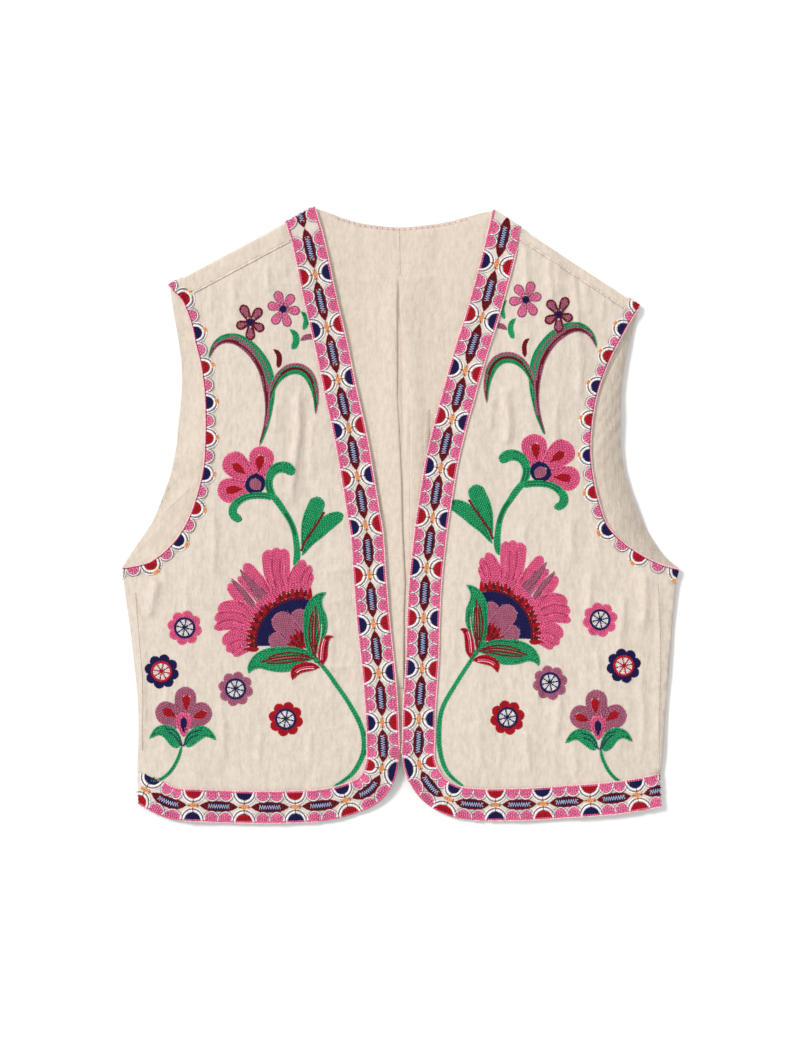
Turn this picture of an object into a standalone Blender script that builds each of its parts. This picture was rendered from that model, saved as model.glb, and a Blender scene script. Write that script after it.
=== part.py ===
"""An embroidered waistcoat, laid on its back with the fronts up.

+X is the wearer's left, +Y the neck and +Z up. The back lies flat and its shoulders fold over to the front,
as far as a seam that sits forward of the shoulder. The fronts lie on the back and join it at the shoulder and
side seams. A tape borders the fronts, the neck and the back's hem, and a narrower one edges the armholes.
"""

import math

import bpy
from mathutils import Vector
from mathutils.geometry import delaunay_2d_cdt, intersect_point_line

MM = 0.001

# Cloth, in millimetres.
CLOTH = 1.2
TAPE = 1.0
SEAM_GAP = 0.3
BORDER_WIDTH = 28.0
EDGING_WIDTH = 12.0
FRONT_GRID = 13.0
BACK_GRID = 16.0

# The tapes under the back lift its hem and its neck by their own height and the gap. The cloth is down again
# this far from the hem's edge, below the neck and across from the middle: (all lifted up to, down again at).
LIFT = TAPE + SEAM_GAP
LIFTED_AT_HEM = (30.0, 50.0)
LIFTED_AT_NECK = (474.0, 450.0)
LIFTED_ACROSS = (108.0, 130.0)
# The fronts clear each of these slopes by starting theirs this much further out.
FRONTS_CLEAR = 20.0

# The pleat down the middle of the back: two folds meet there, sewn together for the first part below the
# neck. Its slope is this much longer where the fronts lie over it, for each millimetre they clear it by.
PLEAT_HALF = 14.0
PLEAT_RAMP = 6.0
PLEAT_HEIGHT = 1.4
PLEAT_FLAT_ABOVE = (450.0, 490.0)
PLEAT_SEWN_TO = 464.0
PLEAT_OPENING = 7.0
PLEAT_SLOPE_EASE = 2.3

# How far the fronts stand off the back away from their edges, and how far in from an edge they reach that
# height.
PUFF = 2.0
PUFF_REACH = 45.0
FRONT_EASE = 0.3

# Where the fronts reach below the back's hem they come down to the surface, over this stretch beyond it.
DROP_BELOW_HEM = (16.0, 44.0)

# The tables give (out, up): millimetres from the centre line towards that side, and above the hem's lowest
# point.
RIGHT_SIDE = {
    "sign": -1,
    "side_seam": [(222, 16), (223, 41), (222, 80), (223, 109), (227, 145), (230, 171), (234, 197),
                  (236, 217)],
    "hem": [(222, 16), (199, 4), (172, 1.5), (135, 0), (98, 0), (61, 2), (34, 9), (17, 18), (6, 33),
            (1, 51)],
    "front_edge": [(1, 51), (1, 72), (2, 99), (5, 136), (9, 173), (12, 210), (14.5, 247), (18, 268),
                   (23, 299), (29, 333), (36, 364), (45.5, 410), (55, 451), (63.5, 492), (72, 522)],
    "front_armhole": [(236, 217), (223, 219), (211, 223), (196, 235), (184, 251), (176, 269), (170, 290),
                      (167, 307), (166, 329), (166, 349), (167, 369), (170, 390), (174, 406),
                      (178.5, 426), (186, 443.5), (196, 453)],
    "back_armhole": [(236, 217), (223, 237), (210, 255), (203, 273), (194, 296), (190, 319), (187, 349),
                     (185, 374), (186, 397), (189, 414), (192, 431), (196, 453)],
    "neck_point": (72, 522),
    "shoulder_tip": (196, 456),
    "shoulder_wrap": 15.0,
}
LEFT_SIDE = {
    "sign": 1,
    "side_seam": [(220.5, 14), (220, 41), (222, 53), (224, 80), (226, 109), (229, 145), (231, 171),
                  (234, 204), (236, 216)],
    "hem": [(220.5, 14), (203, 10.5), (175, 7), (147, 5), (120, 3), (92, 2), (65, 2), (43, 5), (24, 14),
            (11.5, 27), (4, 42), (1, 56)],
    "front_edge": [(1, 56), (1.5, 72), (2, 99), (4.5, 136), (5.5, 173), (7.5, 210), (10.5, 238),
                   (14, 265), (21.5, 310), (28.5, 340), (37, 371), (45.5, 401), (55, 431), (64, 463),
                   (72, 494), (78, 520)],
    "front_armhole": [(236, 216), (221, 220), (205, 228), (189, 239), (176, 253), (169, 272),
                      (164.5, 292), (162, 315), (163, 337), (166, 357), (172, 378), (180, 397),
                      (189, 414), (197, 428), (203, 437)],
    "back_armhole": [(236, 216), (223, 226), (212, 242), (203, 260), (196, 278), (190, 296), (187, 315),
                     (186.5, 337), (186.5, 360), (189, 383), (192.5, 401), (197, 417), (203, 437)],
    "neck_point": (78, 520),
    "shoulder_tip": (203, 438),
    "shoulder_wrap": 8.0,
}

# (across, up) from the wearer's right to the left.
NECK_EDGE = [(-72, 522), (-52, 514), (-36, 509), (-20, 506.5), (0, 505), (14, 506), (37, 509), (59, 514.5),
             (78, 520)]
BACK_HEM = [(-222, 16), (-190, 25), (-140, 38), (-70, 53), (0, 58), (70, 53), (140, 38), (190, 24),
            (220.5, 14)]

# The soft ridges of each front: (out, from up, to up, half width, height).
RIDGES = {
    -1: [(112, 215, 445, 20, 1.3), (152, 45, 215, 18, 1.1), (86, 60, 235, 18, 1.2), (198, 45, 195, 15, 1.4),
         (136, 330, 470, 13, 0.9), (86, 400, 470, 11, 0.9)],
    1: [(104, 330, 480, 12, 1.1), (130, 300, 470, 12, 1.3), (156, 300, 455, 12, 1.2), (66, 50, 255, 16, 1.3),
        (104, 45, 235, 17, 1.4), (146, 40, 220, 18, 1.5), (184, 40, 215, 15, 1.6), (211, 60, 190, 11, 1.2)],
}

CREAM = (0.80, 0.73, 0.64, 1)
TAPE_PINK = (0.72, 0.20, 0.36, 1)
EDGING_RED = (0.62, 0.22, 0.30, 1)


def smooth(value, start, end):
    """0 at start, 1 at end, whichever is the greater, with no corner at either."""
    t = min(1.0, max(0.0, (value - start) / (end - start)))
    return t * t * (3 - 2 * t)


def spline(points, spacing):
    """Points about that far apart on a curve through these."""
    points = [Vector(p) for p in points]
    fine = []
    for i in range(len(points) - 1):
        start, end = points[i], points[i + 1]
        before = points[max(i - 1, 0)]
        after = points[min(i + 2, len(points) - 1)]
        length = (end - start).length
        at_start = (end - before) * (length / max((end - before).length, 1e-6))
        at_end = (after - start) * (length / max((after - start).length, 1e-6))
        steps = max(2, int(length))
        for k in range(steps):
            t = k / steps
            fine.append(
                (2 * t**3 - 3 * t**2 + 1) * start + (t**3 - 2 * t**2 + t) * at_start
                + (3 * t**2 - 2 * t**3) * end + (t**3 - t**2) * at_end
            )
    fine.append(points[-1])
    return resample(fine, spacing)


def resample(line, spacing):
    total = length_of(line)
    count = max(1, round(total / spacing))
    return [at_length(line, total * i / count) for i in range(count + 1)]


def length_of(line):
    return sum((b - a).length for a, b in zip(line, line[1:]))


def at_length(line, wanted):
    for a, b in zip(line, line[1:]):
        step = (b - a).length
        if wanted <= step:
            return a.lerp(b, wanted / step)
        wanted -= step
    return line[-1].copy()


def split(line, lengths, spacing):
    """The line again, with a point at each of these lengths along it."""
    marks = [0.0, *lengths, length_of(line)]
    made = [line[0]]
    for start, end in zip(marks, marks[1:]):
        count = max(1, round((end - start) / spacing))
        made += [at_length(line, start + (end - start) * i / count) for i in range(1, count + 1)]
    return made


def offset(line, distance):
    """The line moved to its left."""
    moved = []
    for i, point in enumerate(line):
        along = (line[min(i + 1, len(line) - 1)] - line[max(i - 1, 0)]).normalized()
        moved.append(point + Vector((-along.y, along.x)) * distance)
    return moved


def to_line(point, line):
    """The distance from a point to a run of straight pieces."""
    nearest = math.inf
    for a, b in zip(line, line[1:]):
        on_line, share = intersect_point_line(point, a, b)
        on_line = a.lerp(b, min(1.0, max(0.0, share)))
        nearest = min(nearest, (point - on_line.to_2d()).length)
    return nearest


def inside(point, outline):
    hit = False
    for a, b in zip(outline, outline[1:] + outline[:1]):
        if (a.y > point.y) == (b.y > point.y):
            continue
        if point.x < a.x + (b.x - a.x) * (point.y - a.y) / (b.y - a.y):
            hit = not hit
    return hit


def filled(outline, lines, grid):
    """Triangles over the outline, with edges along the lines and rows of points: (points, triangles)."""
    points = list(outline)
    edges = []
    for line in lines:
        places = []
        for point in line:
            same = [i for i, known in enumerate(points) if (known - point).length < 1e-4]
            if not same:
                points.append(point)
                same = [len(points) - 1]
            places.append(same[0])
        edges += zip(places, places[1:])
    fixed = [outline + outline[:1], *lines]
    low_x = min(p.x for p in outline)
    low_y = min(p.y for p in outline)
    row = 0
    while low_y + row * grid * 0.87 < max(p.y for p in outline):
        across = low_x + (row % 2) * grid / 2
        while across < max(p.x for p in outline):
            point = Vector((across, low_y + row * grid * 0.87))
            if inside(point, outline) and min(to_line(point, line) for line in fixed) > 0.55 * grid:
                points.append(point)
            across += grid
        row += 1
    verts, _, faces, _, _, _ = delaunay_2d_cdt(points, edges, [list(range(len(outline)))], 1, 1e-5)
    return [Vector(v) for v in verts], [list(f) for f in faces]


def lift_near(hem_distance, place, further):
    """The lift of the tapes under the back at this place, with its slopes that much further out."""
    hem = smooth(hem_distance, LIFTED_AT_HEM[1] + further, LIFTED_AT_HEM[0] + further)
    below_neck = smooth(place.y, LIFTED_AT_NECK[1] - further, LIFTED_AT_NECK[0] - further)
    beside_neck = smooth(abs(place.x), LIFTED_ACROSS[1] + further, LIFTED_ACROSS[0] + further)
    return LIFT * min(1.0, hem + below_neck * beside_neck)


def pleat_near(place, past_edge):
    foot = PLEAT_HALF + PLEAT_RAMP + PLEAT_SLOPE_EASE * past_edge
    return PLEAT_HEIGHT * (1 - smooth(abs(place.x), PLEAT_HALF + past_edge, foot))


def closed_sheet(name, faces, outer, inner, colour, roughness=0.9):
    """One solid between two sets of points with the same faces, outer on the side that the faces face."""
    used = sorted({i for face in faces for i in face})
    order = {old: new for new, old in enumerate(used)}
    faces = [[order[i] for i in face] for face in faces]
    count = len(used)
    points = [outer[i] for i in used] + [inner[i] for i in used]
    sides = {}
    for face in faces:
        for a, b in zip(face, face[1:] + face[:1]):
            sides[(a, b)] = sides.get((a, b), 0) + 1
    rims = [[b, a, a + count, b + count] for a, b in sides if (b, a) not in sides]
    backs = [[i + count for i in reversed(face)] for face in faces]
    mesh = bpy.data.meshes.new(name)
    mesh.from_pydata([Vector(p) * MM for p in points], [], faces + backs + rims)
    mesh.validate()
    material = bpy.data.materials.new(name + "_material")
    material.use_nodes = True
    shader = material.node_tree.nodes["Principled BSDF"]
    shader.inputs["Base Color"].default_value = colour
    shader.inputs["Roughness"].default_value = roughness
    mesh.materials.append(material)
    made = bpy.data.objects.new(name, mesh)
    bpy.context.scene.collection.objects.link(made)
    return made


def nearest(points, point):
    return min(points, key=lambda known: (known - point).length)


class Half:
    """The lines of one side, and the shape of its front."""

    def __init__(self, table, back_hem):
        self.sign = table["sign"]
        self.wrap = table["shoulder_wrap"]
        self.back_hem = back_hem

        def across(points):
            return [(self.sign * out, up) for out, up in points]

        hem = spline(across(table["hem"]), FRONT_GRID * 0.8)
        front = spline(across(table["front_edge"]), FRONT_GRID)
        side = spline(across(table["side_seam"]), 4)
        self.side = split(side, [BORDER_WIDTH, length_of(side) - EDGING_WIDTH], FRONT_GRID)
        self.back_armhole = spline(across(table["back_armhole"]), BACK_GRID)
        self.neck = Vector(across([table["neck_point"]])[0])
        self.tip = Vector(across([table["shoulder_tip"]])[0])
        along = (self.tip - self.neck).normalized()
        self.inward = Vector((along.y, -along.x)) if self.sign > 0 else Vector((-along.y, along.x))
        self.edge = self.cut_at_seam(hem[:-1] + front)
        self.armhole = self.cut_at_seam(spline(across(table["front_armhole"]), FRONT_GRID * 0.9))
        self.mark_seam()

    def depth(self, point):
        """How far this is below the line on which the shoulder folds."""
        return (point - self.neck).dot(self.inward)

    def cut_at_seam(self, line):
        """The part of the line on the front's side of the shoulder seam."""
        wanted = self.wrap + SEAM_GAP / 2
        for i, (a, b) in enumerate(zip(line, line[1:])):
            if self.depth(b) < wanted:
                share = (self.depth(a) - wanted) / (self.depth(a) - self.depth(b))
                end = a.lerp(b, share)
                kept = line[: i + 1]
                if (kept[-1] - end).length < FRONT_GRID / 3:
                    kept = kept[:-1]
                return kept + [end]
        return line

    def mark_seam(self):
        """The seam's points, and those under the fold that they lead to."""
        start, end = self.edge[-1], self.armhole[-1]
        length = (end - start).length
        plain = length - BORDER_WIDTH - EDGING_WIDTH
        count = round(plain / 9)
        marks = [0, BORDER_WIDTH / 2, BORDER_WIDTH]
        marks += [BORDER_WIDTH + plain * i / count for i in range(1, count + 1)]
        marks += [length]
        self.seam = [start.lerp(end, m / length) for m in marks]
        self.fold = [self.neck.lerp(self.tip, m / length) for m in marks]

    def outline(self):
        """The front's edge, anticlockwise when seen from above."""
        line = self.edge + self.seam[1:] + self.armhole[-2::-1] + self.side[-2:0:-1]
        return line if self.sign < 0 else line[:1] + line[:0:-1]

    def border_line(self):
        """Where the border ends on the cloth, from the side seam to the shoulder."""
        turned = offset(self.edge, -self.sign * BORDER_WIDTH)
        corner = next(p for p in self.side if abs((p - self.side[0]).length - BORDER_WIDTH) < 1.5)
        kept = [p for p in turned[2:-2] if to_line(p, self.edge) > BORDER_WIDTH - 1.0]
        return [corner] + kept + [self.seam[2]]

    def edging_line(self):
        """Where the armhole's edging ends on the cloth, from the side seam to the shoulder."""
        turned = offset(self.armhole, self.sign * EDGING_WIDTH)
        corner = next(p for p in self.side if abs((p - self.side[-1]).length - EDGING_WIDTH) < 1.0)
        return [corner] + turned[2:-1] + [self.seam[-2]]

    def underside(self, place):
        """How high the front's underside is at a place."""
        hem_distance = to_line(place, self.back_hem)
        below_hem = 0.0 if self.over_back(place) else smooth(hem_distance, *DROP_BELOW_HEM)
        lifted = CLOTH + lift_near(hem_distance, place, FRONTS_CLEAR) + pleat_near(place, PLEAT_RAMP)
        base = (lifted + SEAM_GAP) * (1 - below_hem) + SEAM_GAP * below_hem
        from_edge = min(to_line(place, self.edge), to_line(place, self.armhole), to_line(place, self.side))
        rise = smooth(from_edge, 0, PUFF_REACH)
        height = PUFF
        out = place.x * self.sign
        for middle, low, high, half_width, ridge in RIDGES[self.sign]:
            spread = math.exp(-(((out - middle) / half_width) ** 2))
            ends = smooth(place.y, low, low + 40) * (1 - smooth(place.y, high - 40, high))
            height += ridge * spread * ends
        seam_room = smooth(self.depth(place), self.wrap, self.wrap + 30)
        ease = FRONT_EASE * smooth(from_edge, 0, FRONT_GRID)
        return base + ease + rise * (PUFF / 2 * (1 - seam_room) + height * seam_room)

    def over_back(self, place):
        across = min(max(place.x, self.back_hem[0].x), self.back_hem[-1].x)
        for a, b in zip(self.back_hem, self.back_hem[1:]):
            if a.x <= across <= b.x:
                return place.y >= a.y + (b.y - a.y) * (across - a.x) / (b.x - a.x)
        return True


def over_shoulder(half, column):
    """A line of cloth from the seam over the shoulder's fold: (point on the outside, direction outwards)."""
    seam, fold = half.seam[column], half.fold[column]
    under = lift_near(math.inf, fold, 0)
    over = half.underside(seam) + CLOTH
    radius = (over - under) / 2
    middle = under + radius
    centre = fold + half.inward * radius
    end = fold + (seam - fold) * ((half.wrap - SEAM_GAP / 2) / half.depth(seam))
    rows = [(end.to_3d() + Vector((0, 0, over)), Vector((0, 0, 1)))]
    rows.append((end.lerp(centre, 0.5).to_3d() + Vector((0, 0, over)), Vector((0, 0, 1))))
    for degrees in (90, 45, 0, -45, -90):
        angle = math.radians(degrees)
        outwards = Vector((*(-half.inward * math.cos(angle)), math.sin(angle)))
        rows.append((centre.to_3d() + Vector((0, 0, middle)) + outwards * radius, outwards))
    return rows, centre


def add_shoulder(half, columns, faces, outer, inner, start_ids, low, high, reach_plane, kept_rows=7):
    """Adds the cloth over the shoulder on these columns, from low to high off the back's outside."""
    ids = []
    for column in columns:
        rows = over_shoulder(half, column)[0][:kept_rows]
        if start_ids:
            rows = rows[1:]
        line = [start_ids[column]] if start_ids else []
        for point, outwards in rows:
            line.append(len(outer))
            outer.append(point + outwards * high)
            inner.append(point + outwards * low)
        if reach_plane:
            line[-1] = reach_plane[column]
        ids.append(line)
    for left, right in zip(ids, ids[1:]):
        for k in range(len(left) - 1):
            face = [left[k], right[k], right[k + 1], left[k + 1]]
            faces.append(face if half.sign > 0 else face[::-1])


def make_front(half, name, border_name, edging_name):
    """A front, the border down its edge and the edging of its armhole, which go on over the shoulder."""
    border_line = half.border_line()
    edging_line = half.edging_line()
    points, faces = filled(half.outline(), [border_line, edging_line], FRONT_GRID)
    under = [Vector((*p, half.underside(p))) for p in points]
    over = [p + Vector((0, 0, CLOTH)) for p in under]
    closed_sheet(name, faces, over, under, CREAM)

    def covered(area):
        return [f for f in faces if inside(sum((points[i] for i in f), Vector((0, 0))) / 3, area)]

    border = half.edge + half.seam[1:2] + border_line[::-1]
    edging = half.armhole + edging_line[::-1]
    last = len(half.seam) - 1
    for area, columns, rows, tape_name, colour in (
        (border, range(0, 3), 7, border_name, TAPE_PINK),
        (edging, range(last - 1, last + 1), 5, edging_name, EDGING_RED),
    ):
        tape_faces = covered(area)
        outer = [p + Vector((0, 0, SEAM_GAP + TAPE)) for p in over]
        inner = [p + Vector((0, 0, SEAM_GAP)) for p in over]
        at_seam = {column: points.index(nearest(points, half.seam[column])) for column in columns}
        add_shoulder(half, columns, tape_faces, outer, inner, at_seam, SEAM_GAP, SEAM_GAP + TAPE, None, rows)
        closed_sheet(tape_name, tape_faces, outer, inner, colour)


def make_back(right, left, back_hem):
    """The back with its pleat and both shoulders, and the tapes round its neck and its hem."""
    tops = {half.sign: [over_shoulder(half, c)[1] for c in range(len(half.seam))] for half in (right, left)}
    neck = spline(NECK_EDGE, BACK_GRID * 0.7)
    neck[0] = tops[-1][0]
    neck[-1] = tops[1][0]
    outline = back_hem + left.side[1:] + left.back_armhole[1:-1]
    outline += tops[1][::-1] + neck[-2:0:-1] + tops[-1]
    outline += right.back_armhole[-2:0:-1] + right.side[:0:-1]

    hem_line = offset(back_hem, BORDER_WIDTH)
    hem_line = [nearest(right.side, hem_line[0])] + hem_line[2:-2] + [nearest(left.side, hem_line[-1])]
    neck_line = [tops[-1][2]] + [p - Vector((0, BORDER_WIDTH)) for p in neck] + [tops[1][2]]
    pleat = []
    for x in (-PLEAT_HALF - PLEAT_RAMP, -PLEAT_HALF, PLEAT_HALF, PLEAT_HALF + PLEAT_RAMP):
        pleat.append([Vector((x, up)) for up in range(110, 461, 25)])
    opening = []
    for share in (0, 0.5, 1):
        line = [Vector((-1.5, PLEAT_SEWN_TO))]
        for up in range(440, 109, -30):
            width = 1.0 + PLEAT_OPENING * smooth(up, PLEAT_SEWN_TO, 370)
            line.append(Vector((-2 + width * share, up)))
        opening.append(line)
    points, faces = filled(outline, [hem_line, neck_line, *pleat, *opening], BACK_GRID)
    groove = {tuple(round(c, 2) for c in p) for p in opening[1][1:]}
    outer, inner = [], []
    for point in points:
        low = lift_near(to_line(point, back_hem), point, 0)
        top = low + CLOTH + pleat_near(point, 0) * smooth(point.y, *reversed(PLEAT_FLAT_ABOVE))
        if tuple(round(c, 2) for c in point) in groove:
            top = low + CLOTH
        outer.append(Vector((*point, low)))
        inner.append(Vector((*point, top)))

    def covered(area):
        return [f for f in faces if inside(sum((points[i] for i in f), Vector((0, 0))) / 3, area)]

    def tape(name, area, meets_fronts):
        flat = [Vector((*p, 0)) for p in points]
        for half in (right, left):
            for i, point in enumerate(points):
                if meets_fronts and min((point - t).length for t in tops[half.sign]) < 0.01:
                    flat[i] += (half.inward * SEAM_GAP).to_3d()
        raised = [p + Vector((0, 0, TAPE)) for p in flat]
        closed_sheet(name, [f[::-1] for f in covered(area)], flat, raised, TAPE_PINK)

    tape("neck_border", tops[-1][2::-1] + neck[1:-1] + tops[1][:3] + neck_line[-2:0:-1], True)
    tape("back_hem_border", back_hem + hem_line[::-1], False)

    faces = [f[::-1] for f in faces]
    for half in (right, left):
        folds = {c: points.index(nearest(points, top)) for c, top in enumerate(tops[half.sign])}
        add_shoulder(half, range(len(half.seam)), faces, outer, inner, None, -CLOTH, 0, folds)
    closed_sheet("back", faces, outer, inner, CREAM)


def centre_all():
    """Moves everything so that the middle of the box round it is over the origin."""
    corners = [v.co for o in bpy.data.objects for v in o.data.vertices]
    shift = Vector((
        -(min(c.x for c in corners) + max(c.x for c in corners)) / 2,
        -(min(c.y for c in corners) + max(c.y for c in corners)) / 2,
        -min(c.z for c in corners),
    ))
    for made in bpy.data.objects:
        for vertex in made.data.vertices:
            vertex.co += shift


def main():
    for known in list(bpy.data.objects):
        bpy.data.objects.remove(known, do_unlink=True)
    back_hem = spline(BACK_HEM, BACK_GRID)
    right = Half(RIGHT_SIDE, back_hem)
    left = Half(LEFT_SIDE, back_hem)
    make_front(right, "right_front", "right_border", "right_armhole_edging")
    make_front(left, "left_front", "left_border", "left_armhole_edging")
    make_back(right, left, back_hem)
    centre_all()


main()
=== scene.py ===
"""An embroidered waistcoat of cream crinkled cotton, laid on its back on a pale floor and seen from straight above."""

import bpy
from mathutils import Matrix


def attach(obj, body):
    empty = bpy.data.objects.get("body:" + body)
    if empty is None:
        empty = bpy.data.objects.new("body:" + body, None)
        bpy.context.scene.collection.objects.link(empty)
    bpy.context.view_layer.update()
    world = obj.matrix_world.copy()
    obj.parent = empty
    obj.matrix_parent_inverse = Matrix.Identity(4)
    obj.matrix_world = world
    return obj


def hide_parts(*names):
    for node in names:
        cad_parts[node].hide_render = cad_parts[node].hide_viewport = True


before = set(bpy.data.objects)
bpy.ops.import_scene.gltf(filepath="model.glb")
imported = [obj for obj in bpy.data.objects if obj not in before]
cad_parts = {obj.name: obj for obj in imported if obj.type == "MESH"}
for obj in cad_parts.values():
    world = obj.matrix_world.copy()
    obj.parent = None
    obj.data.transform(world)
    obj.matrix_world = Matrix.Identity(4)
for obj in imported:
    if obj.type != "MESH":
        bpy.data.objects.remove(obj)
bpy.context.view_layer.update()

import copy
import math
import random

import bmesh
import bpy
import numpy as np
from mathutils import Vector, noise
from mathutils.bvhtree import BVHTree

# The back is one piece of cream double gauze, worn side down, and its inside shows between the fronts.
# Two folds meet in a pleat down its middle. Like the rest of the cloth it is crinkled up and down, and
# creased here and there where it was folded.
MM = 0.001
# Places are in mm, across to the wearer's left and up from the lowest hem. The frame's origin is this far up.
MIDDLE_UP = 261.7

# Each crease: its line, half its width, and its height.
CREASES = [
    ([(-87, 366), (-86, 335), (-90, 302), (-94, 266)], 3.8, 3.8),
    ([(-106, 356), (-104, 330)], 3.0, 1.3),
    ([(-74, 345), (-77, 308), (-72, 290)], 3.0, 1.5),
    ([(-142, 466), (-141, 440), (-138, 418)], 3.0, 1.6),
    ([(-159, 455), (-161, 432)], 2.8, 1.1),
    ([(-113, 474), (-112, 448)], 2.8, 1.5),
    ([(-99, 480), (-98, 462)], 2.5, 0.9),
    ([(-126, 462), (-122, 446)], 2.5, 0.8),
    ([(-206, 207), (-211, 190), (-213, 172)], 4.0, 3.6),
    ([(-226, 196), (-221, 165), (-217, 120)], 3.1, 1.3),
    ([(-219, 128), (-218, 95), (-221, 60)], 2.8, 1.6),
    ([(-197, 120), (-200, 84), (-198, 50)], 3.0, 0.9),
    ([(-178, 215), (-181, 192), (-180, 160)], 3.4, 1.1),
    ([(-160, 275), (-157, 240), (-160, 205)], 3.4, 1.3),
    ([(-42, 216), (-66, 213)], 2.5, 1.1),
    ([(-40, 190), (-62, 188)], 2.5, 0.9),
    ([(-38, 134), (-66, 131)], 2.8, 1.1),
    ([(-58, 170), (-60, 120), (-57, 92)], 3.0, 1.1),
    ([(-118, 84), (-120, 48)], 3.0, 1.1),
    ([(-76, 80), (-78, 40)], 2.8, 1.1),
    ([(-148, 90), (-150, 50)], 3.0, 0.9),
    ([(88, 372), (92, 338), (89, 318)], 3.8, 3.2),
    ([(78, 362), (76, 330)], 3.0, 1.3),
    ([(106, 490), (107, 462), (104, 440)], 3.1, 1.8),
    ([(124, 480), (128, 450), (126, 426)], 3.0, 1.9),
    ([(133, 478), (134, 446)], 2.5, 1.3),
    ([(146, 466), (150, 436), (149, 410)], 3.0, 1.9),
    ([(156, 458), (159, 430)], 2.8, 1.6),
    ([(172, 446), (170, 424)], 2.5, 1.1),
    ([(150, 428), (153, 390), (151, 352)], 3.3, 1.8),
    ([(134, 360), (131, 330), (134, 300)], 3.0, 1.3),
    ([(146, 262), (145, 240), (148, 216)], 3.3, 2.1),
    ([(106, 258), (104, 228)], 3.0, 1.3),
    ([(161, 214), (160, 182), (163, 148)], 3.3, 2.1),
    ([(207, 214), (208, 190), (206, 162)], 3.5, 3.2),
    ([(190, 196), (186, 150), (189, 110)], 3.3, 1.6),
    ([(219, 205), (220, 150), (219, 100), (218, 46)], 2.5, 1.5),
    ([(203, 130), (206, 90), (204, 46)], 3.0, 1.6),
    ([(134, 136), (135, 104), (132, 70)], 3.1, 1.6),
    ([(117, 130), (116, 98)], 2.8, 1.1),
    ([(66, 88), (68, 44)], 2.8, 1.3),
    ([(86, 84), (84, 44)], 2.8, 1.1),
    ([(107, 80), (108, 40)], 3.0, 1.6),
    ([(146, 74), (149, 38)], 3.0, 1.5),
    ([(166, 150), (170, 100), (167, 44)], 3.1, 1.5),
    ([(42, 206), (64, 203)], 2.5, 0.8),
    ([(44, 150), (66, 147)], 2.5, 0.8),
    ([(-175, 342), (-184, 322), (-195, 298), (-203, 262)], 3.6, 3.2),
    ([(-172, 372), (-181, 350), (-187, 318)], 3.2, 2.6),
    ([(-190, 415), (-178, 376)], 3.2, 2.4),
    ([(178, 380), (186, 348), (182, 318)], 3.0, 1.6),
    ([(184, 300), (196, 272), (206, 250)], 3.0, 1.6),
    ([(-60, 466), (-30, 460), (-12, 463)], 3.0, 0.9),
    ([(-40, 440), (-36, 390), (-38, 340)], 3.4, 0.8),
    ([(38, 430), (34, 380), (36, 330)], 3.4, 0.8),
    ([(14, 462), (40, 466)], 3.0, 0.8),
    ([(198, 425), (186, 360), (184, 320), (190, 280), (206, 236)], 9.0, 2.6),
    ([(-198, 425), (-189, 360), (-186, 320), (-192, 280), (-208, 236)], 9.0, 1.6),
]
# The shares of its length at which a crease has risen and starts to die away, and its reach in half widths.
RISEN, DYING = 0.12, 0.78
CREASE_REACH = 1.7
# The crinkle's ripples: how far apart they are across and up, and the level of the noise that each is read from.
SWAYS, RIPPLES, FINE_RIPPLES, WAVES = (70, 90, 3.7), (9, 60, 0), (4.6, 28, 8.1), (24, 150, 5.2)
SWAY_WIDTH = 6
CRINKLE_HEIGHT = 1.3
WAVE_HEIGHT = 1.3


def eased(value, start, end):
    """0 at start, 1 at end, whichever is the greater, with no corner at either."""
    t = np.clip((np.asarray(value, float) - start) / (end - start), 0, 1)
    return t * t * (3 - 2 * t)


def to_line(places, line):
    """How far each place is from a run of straight pieces, and how far along the run the nearest point is, 0 to 1."""
    line = np.asarray(line, float)
    best = np.full(len(places), 1e9)
    share = np.zeros(len(places))
    for i, (a, b) in enumerate(zip(line, line[1:])):
        t = np.clip(((places - a) @ (b - a)) / max(1e-9, (b - a) @ (b - a)), 0, 1)
        away = np.linalg.norm(places - a - t[:, None] * (b - a), axis=1)
        nearer = away < best
        best[nearer] = away[nearer]
        share[nearer] = (i + t[nearer]) / (len(line) - 1)
    return best, share


def pressed(places):
    """How far the creases lift the cloth at each place, in mm."""
    lift = np.zeros(len(places))
    for line, half_width, height in CREASES:
        away, share = to_line(places, line)
        ends = eased(share, 0, RISEN) * eased(share, 1, DYING)
        lift += height * ends * np.exp(-(away / half_width) ** 2)
    return lift


def near_a_crease(places):
    """Which places are on a crease or close by, where the mesh has to be finer."""
    near = np.zeros(len(places), bool)
    for line, half_width, _ in CREASES:
        near |= to_line(places, line)[0] < CREASE_REACH * half_width
    return near


def ripple(x, up, ripples):
    """The height of one kind of ripple at a place, from -1 to 1."""
    across, along, level = ripples
    return noise.noise(Vector((x / across, up / along, level)))


def crinkled(places):
    """How far the crinkle of the double cloth lifts it at each place, in mm."""
    lift, waves = np.empty(len(places)), np.empty(len(places))
    for i, (x, up) in enumerate(places):
        x += SWAY_WIDTH * ripple(x, up, SWAYS)
        lift[i] = ripple(x, up, RIPPLES) + 0.5 * ripple(x, up, FINE_RIPPLES)
        waves[i] = ripple(x, up, WAVES)
    return CRINKLE_HEIGHT * np.clip(0.5 + lift * 0.7, 0, 1.4) + WAVE_HEIGHT * np.clip(0.4 + waves, 0, 1.2)


def point(across, up, height):
    """A place in mm, and its height over the floor, as a point in metres."""
    return Vector((across * MM, (up - MIDDLE_UP) * MM, height * MM))


def places_of(points):
    """The places in mm of points in metres, the other way round."""
    return np.array([p[:2] for p in points]) / MM + (0, MIDDLE_UP)


def added(name, data):
    """A new object in the scene."""
    new = bpy.data.objects.new(name, data)
    bpy.context.scene.collection.objects.link(new)
    return new


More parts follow.
